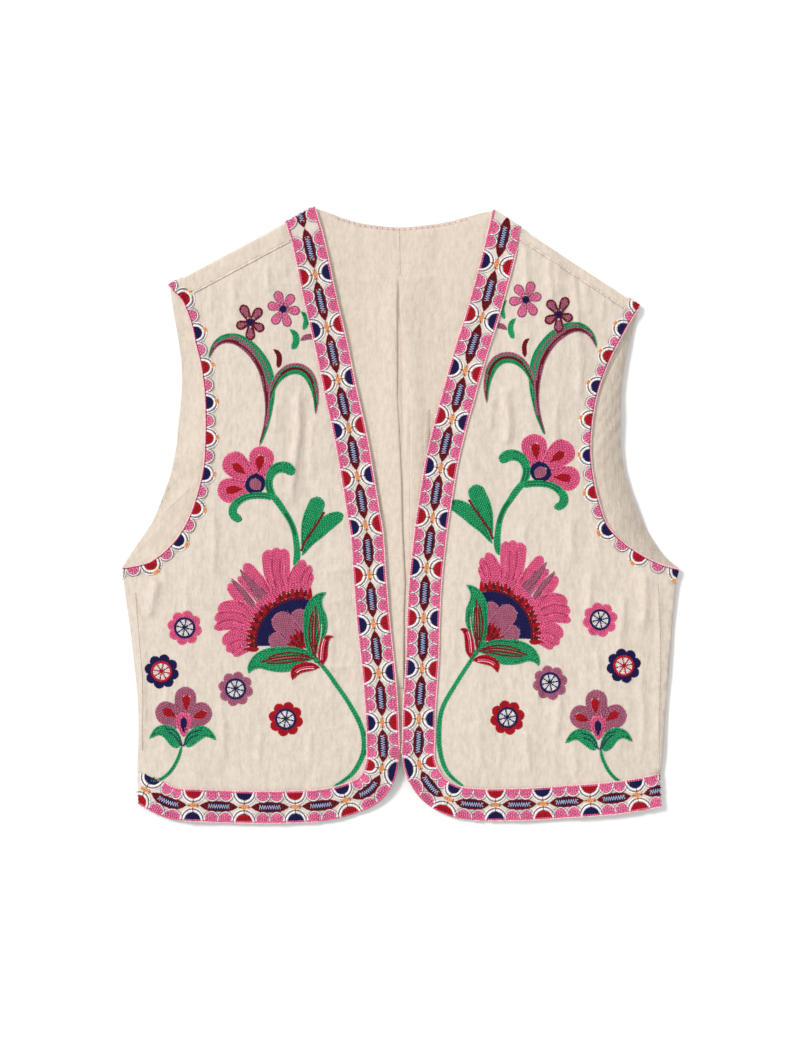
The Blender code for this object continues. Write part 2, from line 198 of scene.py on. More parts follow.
def worked_out(piece, modifier, name):
    """Gives a piece the mesh that its modifier makes."""
    mesh = bpy.data.meshes.new_from_object(piece.evaluated_get(bpy.context.evaluated_depsgraph_get()))
    piece.modifiers.remove(modifier)
    piece.data = mesh
    mesh.name = name
    return mesh


SHARP = math.radians(38)
ROUNDS = 2
# How much thinner the cloth gets at a thinned edge, in mm.
THINNING = 2.3


def as_cloth(node, name, rests=False, lifted=True, thinned=None):
    """A node's form as cloth: a copy of its mesh, closed up and rounded, with the creases and the crinkle lifted in it.
    rests keeps its under side on the floor. thinned gives a line, and how far from it the cloth starts and ends
    thinning out to nothing."""
    form = bmesh.new()
    form.from_mesh(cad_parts[node].data)
    bmesh.ops.remove_doubles(form, verts=form.verts, dist=1e-6)
    sharp = form.edges.layers.float.new("crease_edge")
    for edge in form.edges:
        if edge.calc_face_angle(0) > SHARP:
            edge[sharp] = 1.0
    mesh = bpy.data.meshes.new(name)
    form.to_mesh(mesh)
    form.free()
    piece = added(name, mesh)
    rounding = piece.modifiers.new("Rounding", "SUBSURF")
    rounding.levels = rounding.render_levels = ROUNDS
    mesh = worked_out(piece, rounding, name)
    if lifted:
        form = bmesh.new()
        form.from_mesh(mesh)
        near = near_a_crease(places_of([v.co for v in form.verts]))
        edges = [e for e in form.edges if near[e.verts[0].index] and near[e.verts[1].index]]
        bmesh.ops.subdivide_edges(form, edges=edges, cuts=1, use_grid_fill=True)
        form.to_mesh(mesh)
        form.free()
    points = np.empty(len(mesh.vertices) * 3)
    mesh.vertices.foreach_get("co", points)
    points = points.reshape(-1, 3)
    places = places_of(points)
    creases, crinkle = pressed(places), crinkled(places)
    if rests:
        # What faces down, is less than 3 mm up and lies below the shoulders.
        facing = np.array([v.normal.z for v in mesh.vertices])
        under = eased(facing, 0.3, -0.3) * eased(points[:, 2] / MM, 3.0, 2.4) * eased(places[:, 1], 450, 430)
        creases *= 1 - 0.65 * under
        crinkle *= 1 - under
    if thinned:
        line, start, end = thinned
        points[:, 2] -= THINNING * MM * eased(to_line(places, line)[0], start, end)
    if lifted:
        points[:, 2] += (creases + crinkle) * MM
    mesh.vertices.foreach_set("co", points.ravel())
    mesh.shade_smooth()
    mesh.update()
    return piece


def linear(rgb, light=1.0):
    """A colour as Blender holds it, from its 0 to 255 values."""
    made = [(c / 255 / 12.92 if c <= 10 else ((c / 255 + 0.055) / 1.055) ** 2.4) * light for c in rgb]
    return (*made, 1.0)


def adder(tree, prefix=""):
    """A helper that adds a node to a tree, with its inputs, each a value or an output to join to it, and settings."""
    def add(kind, inputs=(), **settings):
        node = tree.nodes.new(prefix + kind)
        for key, value in settings.items():
            setattr(node, key, value)
        for key, value in dict(inputs).items():
            if isinstance(value, bpy.types.NodeSocket):
                tree.links.new(value, node.inputs[key])
            else:
                node.inputs[key].default_value = value
        return node
    return add


def new_finish(name, roughness, sheen):
    """An empty finish, and helpers that add a node and join an output to the shader."""
    material = bpy.data.materials.new(name)
    material.use_nodes = True
    shader = material.node_tree.nodes["Principled BSDF"]
    for key, value in (("Roughness", roughness), ("Sheen Weight", sheen), ("Specular IOR Level", 0.12)):
        shader.inputs[key].default_value = value

    def give(key, output):
        material.node_tree.links.new(output, shader.inputs[key])

    return material, adder(material.node_tree, "ShaderNode"), give


def gauze(name, colour, shadow):
    """Crinkled double cotton gauze: an open weave of soft threads, with slubs, that puckers in short upright waves, its
    colour painted darker in the hollows of the crinkle as shade.
    """
    material, add, give = new_finish(name, 0.92, 0.15)
    place = add("TexCoord").outputs["Object"]
    layers = []
    for scale, depth in (((120, 34, 80), 1.1), ((330, 130, 240), 0.6), ((1300, 900, 1100), 0.2)):
        spread = add("Mapping", {"Vector": place, "Scale": scale})
        grain = add("TexNoise", {"Vector": spread.outputs["Vector"], "Scale": 1.0, "Detail": 3.0, "Roughness": 0.55,
                                 "Distortion": 0.4})
        layers.append((grain.outputs["Fac"], depth))
    across, down = [add("TexWave", {"Vector": place, "Scale": scale, "Distortion": 1.2, "Detail": 1.0},
                        bands_direction=way).outputs["Fac"] for scale, way in ((330.0, "X"), (300.0, "Y"))]
    layers.append((add("Math", {0: across, 1: down}, operation="MULTIPLY").outputs[0], 0.2))
    bumps = {}
    for height, depth in layers:
        bump = add("Bump", {"Strength": 0.8, "Distance": depth * MM, "Height": height, **bumps})
        bumps = {"Normal": bump.outputs["Normal"]}
    give("Normal", bump.outputs["Normal"])
    # Painted shade: the colour falls to the shadow tone where the middle crinkle bump is low.
    shade = add("ValToRGB", {"Fac": layers[1][0]})
    for stop, position, made in zip(shade.color_ramp.elements, (0.32, 0.62), (shadow, colour)):
        stop.position = position
        stop.color = linear(made)
    give("Base Color", shade.outputs["Color"])
    return material


# The second colour of each gauze is its painted shade, for the hollows of the crinkle.
cream_gauze = gauze("cream_gauze", (223, 210, 196), (211, 197, 182))
inside_gauze = gauze("cream_gauze_inside", (223, 209, 193), (212, 197, 180))

# The two fold edges of the pleat, from where its seam ends to the hem: (across, up).
FOLDS = {
    -1: [(-2.4, 465), (-3.0, 440), (-3.0, 363), (-1.5, 340), (0.6, 290), (1.4, 248), (3.8, 205), (2.8, 176),
         (2.5, 110)],
    1: [(-1.8, 465), (-0.8, 452), (0.2, 431), (2.8, 410), (4.9, 393), (7.3, 363), (8.8, 345), (8.2, 300), (7.6, 250),
        (9.5, 205), (8, 110)],
}
FOLDS_TOP, FOLDS_FOOT = 465, 112
# Across each fold, the places of its points out from its edge.
FOLD_STEPS = (0.5, 1.6, 3.5, 6.0, 9.0, 13.0, 18.0)
# Rays are cast down on the cloth from this far above the floor, in mm.
ABOVE = 100
DOWN = Vector((0, 0, -1))


def folded(back):
    """Lays the two folds of the pleat on the back, each standing clear at its edge and sinking into it further out."""
    form = bmesh.new()
    form.from_mesh(back.data)
    tree = BVHTree.FromBMesh(form)

    def height(x, up):
        return tree.ray_cast(point(x, up, ABOVE), DOWN)[0].z / MM

    for away, edge in FOLDS.items():
        ups = np.arange(FOLDS_TOP, FOLDS_FOOT, -3.0)
        edges = np.interp(-ups, [-up for _, up in edge], [x for x, _ in edge])
        # The height of the cloth that each fold stands on, evened out along it.
        shelf = np.array([height(x + away * 8, up) for x, up in zip(edges, ups)])
        shelf = np.convolve(np.pad(shelf, 3, "edge"), np.ones(7) / 7, "valid")
        tops = []
        for x, up, base in zip(edges, ups, shelf):
            rise = float(eased(up, FOLDS_TOP, 440) * eased(up, FOLDS_FOOT, 130))
            row = [(x, height(x, up) - 0.2), (x - away * 0.3, base + 0.7 * rise)]
            # It stands 1.5 mm clear at the fold, and is 0.35 mm inside the cloth where it ends further out.
            for out in FOLD_STEPS:
                here = height(x + away * out, up)
                sunk = float(eased(out, 3, 17))
                top = max(here, base if out < 7 else here) + 1.5 * rise * (1 - sunk) - 0.35 * sunk - 0.3 * (1 - rise)
                row.append((x + away * out, top))
            tops.append([point(x, up, z) for x, z in row])
        lows = [[p - Vector((0, 0, 0.5 * MM)) for p in row] for row in tops]
        # Round the strip: its upper side, its edge further out, its under side and the fold.
        rounds = [[form.verts.new(p) for p in (*top, *low[::-1])] for top, low in zip(tops, lows)]
        count = len(rounds[0])
        faces = [[low[i], low[(i + 1) % count], high[(i + 1) % count], high[i]]
                 for high, low in zip(rounds, rounds[1:]) for i in range(count)]
        for end, turned in ((rounds[0], False), (rounds[-1], True)):
            for i in range(count // 2 - 1):
                face = [end[i], end[i + 1], end[count - 2 - i], end[count - 1 - i]]
                faces.append(face[::-1] if turned else face)
        for face in faces:
            form.faces.new(face if away > 0 else face[::-1]).smooth = True
    form.to_mesh(back.data)
    form.free()


def dressed(piece, finish, node):
    """Gives a piece of cloth its finish, and puts it where a node is."""
    piece.data.materials.clear()
    piece.data.materials.append(finish)
    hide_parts(node)
    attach(piece, "root")


back = as_cloth("back", "back_cloth", rests=True)
folded(back)
dressed(back, inside_gauze, "back")

# Each front is one piece of the same gauze, laid on the back and sewn to it at the side and, a little forward of the
# fold of the shoulder, along the top.
fronts = {}
for side in ("right", "left"):
    front = as_cloth(side + "_front", side + "_front_cloth")
    dressed(front, cream_gauze, side + "_front")
    fronts[side] = front

# The borders are tapes of closely worked cream cotton, sewn flat on the cloth along the hem and up each front to the
# neck. Two plain lengths of the same tape lie out of sight under the back's neck and hem.
tape_ground = gauze("tape_cream", (226, 215, 204), (214, 202, 190))
borders = {}
for side in ("right", "left"):
    tape = as_cloth(side + "_border", side + "_border_tape")
    dressed(tape, tape_ground, side + "_border")
    borders[side] = tape
for name, length in (("neck_border", 0.17), ("back_hem_border", 0.46)):
    tape = as_cloth(name, name + "_tape", lifted=False)
    dressed(tape, tape_ground, name)

# The borders are worked all over in thread, on a pattern that repeats along them: at each station a red and a blue half
# disc at the edges with a peach dot between them, then a dark red spindle, and pink scallops along both edges.
# Every stitch is a small raised loop, laid on a dark pad in its thread's colour, painted shade that makes the gaps
# between stitches read dark.
THREADS = {
    "white": (250, 246, 242), "cream": (232, 218, 204), "grey": (128, 104, 122), "peach": (250, 178, 122),
    "pink": (238, 98, 143), "deep pink": (186, 50, 96), "bright pink": (242, 122, 166), "pale pink": (252, 204, 212),
    "mauve": (182, 102, 130), "old rose": (160, 92, 118), "red": (186, 16, 34), "dark red": (122, 8, 26),
    "blue": (26, 22, 84), "pale blue": (206, 210, 236), "green": (38, 164, 106), "dark green": (28, 104, 76),
    "teal": (26, 62, 84), "tan": (176, 130, 112),
}
# In mm: how high the stitches and the shade pad stand, and how much more on each layer; the shade pad's grid, how far
# it keeps inside its shape; the shortest stitch in a row, and how far rows keep from a shape's ends.
STITCH_LIFT, SHADE_PAD_LIFT, LAYER_LIFT = 0.15, 0.12, 0.08
SHADE_PAD_STEP, SHADE_PAD_INSET = 2.5, 0.25
SHORTEST, END_GAP = 0.7, 0.15
# As shares: how dark the shade pad is, as painted shade between the stitches, how the dye varies from stitch to stitch,
# how far stitches reach past their ends, how wide they are in their rows, and how much of one lies before the next in
# its row.
SHADE_PAD_LIGHT = 0.32
DYE = (0.84, 1.12)
OVERLAP = 0.12
PLUMP = 1.08
PACE = 0.86
# Where the cloth is felt for around a place: on it, a hair off so that no ray runs along an edge of the mesh, and to
# both sides; or, to bridge the gap of a seam, above and below it.
FEEL, FEEL_BRIDGING = ((0.013, 0.007), (0.9, 0), (-0.9, 0)), ((0, 0), (0, 1.5), (0, -1.5))


def curve(points, spacing=0.5):
    """Points about that far apart, in mm, on a smooth curve through these."""
    points = np.asarray(points, float)
    fine = []
    for i, (start, end) in enumerate(zip(points, points[1:])):
        before, after = points[max(i - 1, 0)], points[min(i + 2, len(points) - 1)]
        length = np.linalg.norm(end - start)
        leaving = (end - before) * (length / max(np.linalg.norm(end - before), 1e-6))
        coming = (after - start) * (length / max(np.linalg.norm(after - start), 1e-6))
        for t in np.arange(0, 1, 1 / max(2, math.ceil(length / spacing))):
            fine.append((2 * t**3 - 3 * t**2 + 1) * start + (t**3 - 2 * t**2 + t) * leaving
                        + (3 * t**2 - 2 * t**3) * end + (t**3 - t**2) * coming)
    fine.append(points[-1])
    return np.array(fine)


class Course:
    """A line of work, read by the length along it and the distance to its left, in mm."""

    def __init__(self, line):
        self.line = np.asarray(line, float)
        steps = np.linalg.norm(np.diff(self.line, axis=0), axis=1)
        self.line = self.line[np.concatenate([[True], steps > 1e-9])]
        steps = steps[steps > 1e-9]
        self.marks = np.concatenate([[0], np.cumsum(steps)])
        self.length = self.marks[-1]
        ways = np.gradient(self.line, self.marks, axis=0)
        self.ways = ways / np.linalg.norm(ways, axis=1)[:, None]

    def at(self, along, left=0.0):
        along = np.asarray(along, float)
        inner = np.clip(along, 0, self.length)
        place = np.stack([np.interp(inner, self.marks, self.line[:, k]) for k in (0, 1)], axis=-1)
        way = np.stack([np.interp(inner, self.marks, self.ways[:, k]) for k in (0, 1)], axis=-1)
        side = np.stack([-way[..., 1], way[..., 0]], axis=-1)
        return place + way * (along - inner)[..., None] + side * np.asarray(left, float)[..., None]

    def beside(self, left):
        return Course(self.at(self.marks, np.full(len(self.marks), left)))


class Work:
    """The thread on one piece: stitches and, under them, a dark pad of painted shade, dropped on the cloth from above.
    """

    def __init__(self, *cloths, seed):
        self.tree = BVHTree.FromPolygons(*self.faces_of(cloths))
        self.chance = random.Random(seed)
        self.bridging = False
        self.points, self.ups, self.ways, self.sizes, self.shades = [], [], [], [], []
        self.shade_pads, self.shade_pad_faces, self.shade_pad_colours = [], [], []
        self.covers = []
        self.place = np.asarray

    def at(self, place):
        """The same work, done in a motif's own places, with the function that turns them into the cloth's."""
        motif = copy.copy(self)
        motif.place = place
        return motif

    @staticmethod
    def faces_of(cloths):
        points, faces = [], []
        for cloth in cloths:
            first = len(points)
            points += [v.co.copy() for v in cloth.data.vertices]
            cloth.data.calc_loop_triangles()
            faces += [[first + i for i in t.vertices] for t in cloth.data.loop_triangles]
        return points, faces

    def drop(self, place):
        """A point on a place as high as the cloth is there and close by, and the way that it faces; None off it."""
        found = (None, None)
        for shift in FEEL_BRIDGING if self.bridging else FEEL:
            shift = Vector((*shift, 0)) * MM
            hit, up, _, _ = self.tree.ray_cast(point(*place, ABOVE) + shift, DOWN)
            if hit is None and shift.length < 0.1 * MM:
                # The place itself is off the cloth.
                break
            if hit and up.z > 0.2 and (not found[0] or hit.z > found[0].z):
                found = hit - shift, found[1] or up
        return found

    def stitch(self, start, end, width, thread, layer=0, height=0.8):
        """One loop from start to end."""
        middle = (np.asarray(start) + np.asarray(end)) / 2
        hit, up = self.drop(middle)
        if not hit:
            return
        way = Vector((end[0] - start[0], end[1] - start[1], 0))
        length = way.length
        if length < 1e-6:
            return
        self.points.append(hit + up * ((STITCH_LIFT + LAYER_LIFT * layer) * MM))
        self.ups.append(up)
        self.ways.append(way.normalized())
        self.sizes.append((length * MM, width * MM, height * MM))
        self.shades.append(linear(THREADS[thread], self.chance.uniform(*DYE)))

    def line(self, points, thread, width=1.1, step=2.4, layer=1, bent=True, height=0.8, overlap=OVERLAP):
        """A row of stitches along a curve through these points."""
        course = Course(curve(points) if bent and len(points) > 2 else points)
        count = max(1, round(course.length / step))
        over = overlap * course.length / count
        for i in range(count):
            ends = course.at([course.length * i / count - over, course.length * (i + 1) / count + over])
            ends = self.place(ends)
            self.stitch(ends[0], ends[1], width, thread, layer + 3, height)

    def fill(self, spine, widths, thread, row=1.5, step=3.0, layer=0, caps=(None, None), edge=True, bands=None):
        """A shape along a spine, with its half widths from start to end, filled with rows along it and one round it.
        caps are the lengths over which its ends round off, each by default its half width there. bands split it across
        into threads: (share across from -1 on the right to 1 on the left up to which a thread goes, thread)."""
        course = Course(curve(spine) if len(spine) > 2 else spine)
        profile = curve([(i / (len(widths) - 1), w) for i, w in enumerate(widths)], 0.05)
        caps = [widths[k] if cap is None else cap for k, cap in zip((0, -1), caps)]

        def half(along):
            width = np.interp(along / course.length, profile[:, 0], profile[:, 1])
            for gap, cap in ((along, caps[0]), (course.length - along, caps[1])):
                if cap > 0:
                    width = width * np.sqrt(np.clip(1 - (1 - np.clip(gap / cap, 0, 1)) ** 2, 0, 1))
            return np.maximum(width, 0)

        def put(along, left):
            return self.place(course.at(along, left))

        def colour(share):
            if not bands:
                return thread
            return next((name for limit, name in bands if share <= limit), bands[-1][1])

        widest = max(half(np.linspace(0, course.length, 60)))
        rim = course.length * (1 - np.cos(np.linspace(0, math.pi, 30))) / 2
        halves = np.maximum(half(rim) - 0.5, 0)
        outline = np.concatenate([put(rim, halves), put(rim[::-1], -halves[::-1])])
        self.covers.append((len(self.points), len(self.shade_pad_faces), outline))
        # The shade pad, a grid of faces a little inside the shape, in painted shade: the thread's colour darkened, seen
        # in the gaps between stitches.
        rows = max(2, math.ceil(course.length / SHADE_PAD_STEP))
        across = max(2, math.ceil(2 * widest / SHADE_PAD_STEP))
        first = len(self.shade_pads)
        for i in range(rows + 1):
            along = SHADE_PAD_INSET + (course.length - 2 * SHADE_PAD_INSET) * i / rows
            width = max(0.08, half(along) - SHADE_PAD_INSET)
            shares = np.linspace(-1, 1, across + 1)
            for share, spot in zip(shares, put(np.full(across + 1, along), shares * width)):
                hit, up = self.drop(spot)
                if not hit:
                    hit, up = self.tree.find_nearest(point(*spot, 6))[0], Vector((0, 0, 1))
                self.shade_pads.append(hit + up * ((SHADE_PAD_LIFT + LAYER_LIFT * layer) * MM))
                # Painted shade: the pad takes its thread's colour at about a third of its brightness, for the shade
                # between the stitches.
                self.shade_pad_colours.append(linear(THREADS[colour(share)], SHADE_PAD_LIGHT))
        flipped = None
        for i in range(rows):
            for k in range(across):
                a = first + i * (across + 1) + k
                face = [a, a + 1, a + across + 2, a + across + 1]
                if flipped is None:
                    p = [self.shade_pads[j] for j in face]
                    flipped = (p[1] - p[0]).cross(p[3] - p[0]).z < 0
                self.shade_pad_faces.append(face[::-1] if flipped else face)
        # The row round it.
        edge = edge and widest > row * 1.1
        inset = row * 0.5
        if edge:
            turn = np.linspace(0, math.pi, 40)
            share = (1 - np.cos(turn)) / 2
            shrink = 1 - inset / widest
            there = inset + (course.length - 2 * inset) * share
            halves = half(course.length * share) * shrink
            loop = np.concatenate([put(there, halves), put(there[::-1], -halves[::-1])])
            lefts = np.concatenate([np.ones(40), -np.ones(40)])
            ring = Course(np.vstack([loop, loop[:1]]))
            count = max(4, round(ring.length / step))
            for i in range(count):
                start, end = ring.length * (i - OVERLAP) / count, ring.length * (i + (1 + OVERLAP)) / count
                ends = ring.at([start % ring.length, end % ring.length])
                side = lefts[min(79, np.searchsorted(ring.marks, (start + end) / 2) % 80)]
                self.stitch(ends[0], ends[1], row * PLUMP, colour(side * 0.95), layer)
        # The rows along it.
        clear = row * (1.15 if edge else 0.35)
        count = max(1, round(2 * (widest - (row if edge else 0)) / row))
        for k in range(count):
            left = (k + 0.5 - count / 2) * row
            start = (0.5 if k % 2 else 0.0) * step + self.chance.uniform(-0.3, 0.3)
            for along in np.arange(start, course.length, step * PACE):
                begin, end = max(along, END_GAP), min(along + step, course.length - END_GAP)
                while end - begin > SHORTEST and half(begin) < abs(left) + clear:
                    begin += SHORTEST / 2
                while end - begin > SHORTEST and half(end) < abs(left) + clear:
                    end -= SHORTEST / 2
                if end - begin <= SHORTEST:
                    continue
                ends = put([begin, end], [left, left])
                here = half((begin + end) / 2)
                self.stitch(ends[0], ends[1], row * PLUMP, colour(left / max(here, 0.3)), layer)

    def disc(self, centre, radius, thread, **how):
        """A round patch."""
        x, y = centre
        self.fill([(x, y - radius), (x, y + radius)], [radius, radius], thread, **how)

    def cut_away(self):
        """Removes the stitches and the shade pad that later shapes cover, as a maker would leave them out."""
        def beneath(places, outline):
            inside = np.zeros(len(places), bool)
            for a, b in zip(outline, np.roll(outline, -1, axis=0)):
                if a[1] != b[1]:
                    crossing = (b[0] - a[0]) * (places[:, 1] - a[1]) / (b[1] - a[1]) + a[0]
                    inside ^= ((a[1] > places[:, 1]) != (b[1] > places[:, 1])) & (places[:, 0] < crossing)
            return inside

        stitches, shade_pads = places_of(self.points), places_of(self.shade_pads)
        middles = np.array([shade_pads[face].mean(axis=0) for face in self.shade_pad_faces])
        kept, faces_kept = np.ones(len(stitches), bool), np.ones(len(middles), bool)
        for first, first_face, outline in self.covers:
            kept[:first] &= ~beneath(stitches[:first], outline)
            faces_kept[:first_face] &= ~beneath(middles[:first_face], outline)
        for label in ("points", "ups", "ways", "sizes", "shades"):
            setattr(self, label, [v for v, k in zip(getattr(self, label), kept) if k])
        faces = [f for f, k in zip(self.shade_pad_faces, faces_kept) if k]
        places = {i: n for n, i in enumerate(sorted({i for f in faces for i in f}))}
        self.shade_pad_faces = [[places[i] for i in f] for f in faces]
        self.shade_pads = [self.shade_pads[i] for i in places]
        self.shade_pad_colours = [self.shade_pad_colours[i] for i in places]

    def made(self, name):
        """The finished work as one piece: its stitches become points, each with its loop's axes, size and dye."""
        if self.covers:
            self.cut_away()
        mesh = bpy.data.meshes.new(name)
        first = len(self.points)
        mesh.from_pydata([*self.points, *self.shade_pads], [], [[first + i for i in f] for f in self.shade_pad_faces])
        none = [(0.0, 0.0, 1.0)] * len(self.shade_pads)
        for label, values in (("up", self.ups), ("way", self.ways), ("size", self.sizes)):
            made = mesh.attributes.new(label, "FLOAT_VECTOR", "POINT")
            made.data.foreach_set("vector", np.array([tuple(v) for v in [*values, *none]]).ravel())
        made = mesh.attributes.new("shade", "FLOAT_COLOR", "POINT")
        made.data.foreach_set("color", np.array([*self.shades, *self.shade_pad_colours]).ravel())
        made = mesh.attributes.new("is_stitch", "BOOLEAN", "POINT")
        made.data.foreach_set("value", [True] * len(self.points) + [False] * len(self.shade_pads))
        piece = added(name, mesh)
        sewing = piece.modifiers.new("Stitches", "NODES")
        sewing.node_group = stitches
        sewing[stitches.interface.items_tree["Thread"].identifier] = thread_finish
        worked_out(piece, sewing, name)
        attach(piece, "root")
        return piece


def stitch_tree():
    """Puts a loop of thread on every point marked as a stitch, and leaves the shade pad, painted shade in the thread's
    colour, as it is.
    """
    tree = bpy.data.node_groups.new("Stitches", "GeometryNodeTree")
    tree.interface.new_socket("Geometry", in_out="INPUT", socket_type="NodeSocketGeometry")
    tree.interface.new_socket("Thread", in_out="INPUT", socket_type="NodeSocketMaterial")
    tree.interface.new_socket("Geometry", in_out="OUTPUT", socket_type="NodeSocketGeometry")
    add = adder(tree)

    def named(label, data_type="FLOAT_VECTOR"):
        return add("GeometryNodeInputNamedAttribute", {"Name": label}, data_type=data_type).outputs["Attribute"]

    inputs = add("NodeGroupInput")
    parted = add("GeometryNodeSeparateGeometry", {"Geometry": inputs.outputs["Geometry"],
                                                  "Selection": named("is_stitch", "BOOLEAN")}, domain="POINT")
    loop = add("GeometryNodeMeshIcoSphere", {"Radius": 0.5, "Subdivisions": 1})
    rounded = add("GeometryNodeSetShadeSmooth", {"Geometry": loop.outputs["Mesh"]})
    turned = add("FunctionNodeAxesToRotation", {"Primary Axis": named("up"), "Secondary Axis": named("way")},
                 primary_axis="Z", secondary_axis="X")
    laid = add("GeometryNodeInstanceOnPoints", {"Points": parted.outputs["Selection"],
                                                "Instance": rounded.outputs["Geometry"],
                                                "Rotation": turned.outputs["Rotation"], "Scale": named("size")})
    real = add("GeometryNodeRealizeInstances", {"Geometry": laid.outputs["Instances"]})
    both = add("GeometryNodeJoinGeometry", {"Geometry": parted.outputs["Inverted"]})
    tree.links.new(real.outputs["Geometry"], both.inputs["Geometry"])
    dyed = add("GeometryNodeSetMaterial", {"Geometry": both.outputs["Geometry"],
                                           "Material": inputs.outputs["Thread"]})
    add("NodeGroupOutput", {"Geometry": dyed.outputs["Geometry"]})
    return tree


def thread():
    """Stranded cotton: each stitch takes its dye from the work, with fine strands along it and a soft lustre."""
    material, add, give = new_finish("embroidery_thread", 0.6, 0.05)
    dye = add("Attribute", attribute_name="shade")
    place = add("TexCoord")
    strands = add("TexNoise", {"Vector": place.outputs["Object"], "Scale": 1600.0, "Detail": 2.0, "Roughness": 0.6})
    wear = add("MixRGB", {"Fac": 0.1, "Color1": dye.outputs["Color"], "Color2": strands.outputs["Fac"]},
               blend_type="MULTIPLY")
    give("Base Color", wear.outputs["Color"])
    bump = add("Bump", {"Strength": 0.5, "Distance": 0.25 * MM, "Height": strands.outputs["Fac"]})
    give("Normal", bump.outputs["Normal"])
    return material


stitches = stitch_tree()
thread_finish = thread()

# The outer edge of each front, along the hem with its corner, and on up to the shoulder.
EDGE_LINES = {
    "right": ([(-222, 16), (-199, 4), (-172, 1.5), (-135, 0), (-98, 0), (-61, 2), (-34, 9), (-17, 18), (-6, 33),
               (-1, 51)],
              [(-1, 51), (-1, 72), (-2, 99), (-5, 136), (-9, 173), (-12, 210), (-14.5, 247), (-18, 268), (-23, 299),
               (-29, 333), (-36, 364), (-45.5, 410), (-55, 451), (-63.5, 492), (-72, 522)]),
    "left": ([(220.5, 14), (203, 10.5), (175, 7), (147, 5), (120, 3), (92, 2), (65, 2), (43, 5), (24, 14), (11.5, 27),
              (4, 42), (1, 56)],
             [(1, 56), (1.5, 72), (2, 99), (4.5, 136), (5.5, 173), (7.5, 210), (10.5, 238), (14, 265), (21.5, 310),
              (28.5, 340), (37, 371), (45.5, 401), (55, 431), (64, 463), (72, 494), (78, 520)]),
}
TAPE_HALF = 14.0
# How far out from the tape's middle the half discs and the scallops have their straight sides.
RIM = 13.4
# Along the tape's middle from the side seam: where the first station is, and the ways to the next along the hem, round
# the corner, up the front and near the neck; then where a spindle lies on the shoulder, or 0 for none.
STATIONS = {"right": (-0.5, 43.3, 39.0, 41.9, 45.5, 695), "left": (17.5, 40.1, 39.05, 42.65, 47.0, 0)}
HEM_STATIONS, FRONT_STATIONS, NECK_STATIONS = 5, 7, 2
INWARD = {"right": 1, "left": -1}


def spoke(angle, start, end):
    """Two points on a line out from the foot."""
    way = np.array([math.cos(math.radians(angle)), math.sin(math.radians(angle))])
    return [tuple(way * start), tuple(way * end)]


def scallop(work, where, rim, inward, half_width, depth):
    """A pink scallop on an edge, with a thin white crescent and a grey outline round it."""
    work.fill([(where, rim), (where, rim + inward * depth)], [half_width, half_width], "bright pink",
              row=1.5, step=3.0, layer=1, caps=(0, half_width))
    turn = np.radians(np.linspace(0, 180, 12))
    for thread_name, grown, width, layer in (("white", 0.8, 1.1, 0), ("grey", 1.4, 0.5, 2)):
        around = [(where + (half_width + grown) * math.cos(a),
                   rim + inward * (0.8 + (depth + grown - 0.8) * math.sin(a))) for a in turn]
        work.line(around, thread_name, width=width, step=2.3, layer=layer, overlap=0.3)


def half_disc(work, rim, inward, thread_name, radius=7.1, depth=7.8):
    """A red or blue half disc on an edge, its point towards the middle, in a broad white crescent, a dark outline and a
    narrow white one."""
    work.fill([(0, rim), (0, rim + inward * depth)], [radius, radius, radius * 0.93, radius * 0.68, 0.3],
              thread_name, row=1.5, step=2.9, layer=2, caps=(0, 0))
    turn = np.radians(np.linspace(4, 176, 16))
    for thread_name, grown, width, layer in (("white", 1.1, 2.4, 1), ("grey", 2.4, 0.6, 2), ("white", 3.3, 1.5, 0)):
        around = [((radius + grown) * math.cos(a), rim + inward * (depth + grown * 1.2) * math.sin(a)) for a in turn]
        work.line(around, thread_name, width=width, step=2.2, layer=layer, overlap=0.5)


def spindle(work, middle, reach):
    """A dark red spindle along the border, with a blue middle under a close zigzag."""
    work.fill([(middle - reach, 0), (middle + reach, 0)], [0.2, 3.0, 4.6, 4.7, 4.7, 4.6, 3.0, 0.2], "dark red",
              row=1.5, step=3.1, layer=1, caps=(0, 0))
    work.fill([(middle - 10, 0), (middle + 10, 0)], [1.6, 2.8, 2.9, 2.8, 1.6], "blue", row=1.4, step=2.7,
              layer=2, edge=False)
    zigzag = [(middle - 9.0 + i, 2.0 if i % 2 else -2.0) for i in range(19)]
    for a, b in zip(zigzag, zigzag[1:]):
        work.line([a, b], "pale blue", width=0.5, layer=3, step=4)
    for end in (-1, 1):
        work.line([(middle + end * reach, 0), (middle + end * (reach + 2.8), 0)], "dark red", width=0.7)
    for towards in (1, -1):
        for shift in (-5.9, 5.9):
            scallop(work, middle + shift, towards * RIM, -towards, 5.9, 8.3)


def station(work, blue_inside):
    """One station of the border. Places are (along, towards the inner edge)."""
    for towards, thread_name in ((1, "blue" if blue_inside else "red"), (-1, "red" if blue_inside else "blue")):
        half_disc(work, towards * RIM, -towards, thread_name)
        work.line([(0, towards * 5.8), (0, towards * 2.6)], "blue", width=0.7, layer=3)
    work.fill([(-4.2, 0), (4.2, 0)], [1.4, 2.4, 2.6, 2.4, 1.4], "peach", row=1.2, step=2.2, layer=3, edge=False,
              caps=(0, 0))
    for angle in range(20, 380, 45):
        work.line(spoke(angle, 2.2, 3.9), "peach", width=0.9, layer=2)


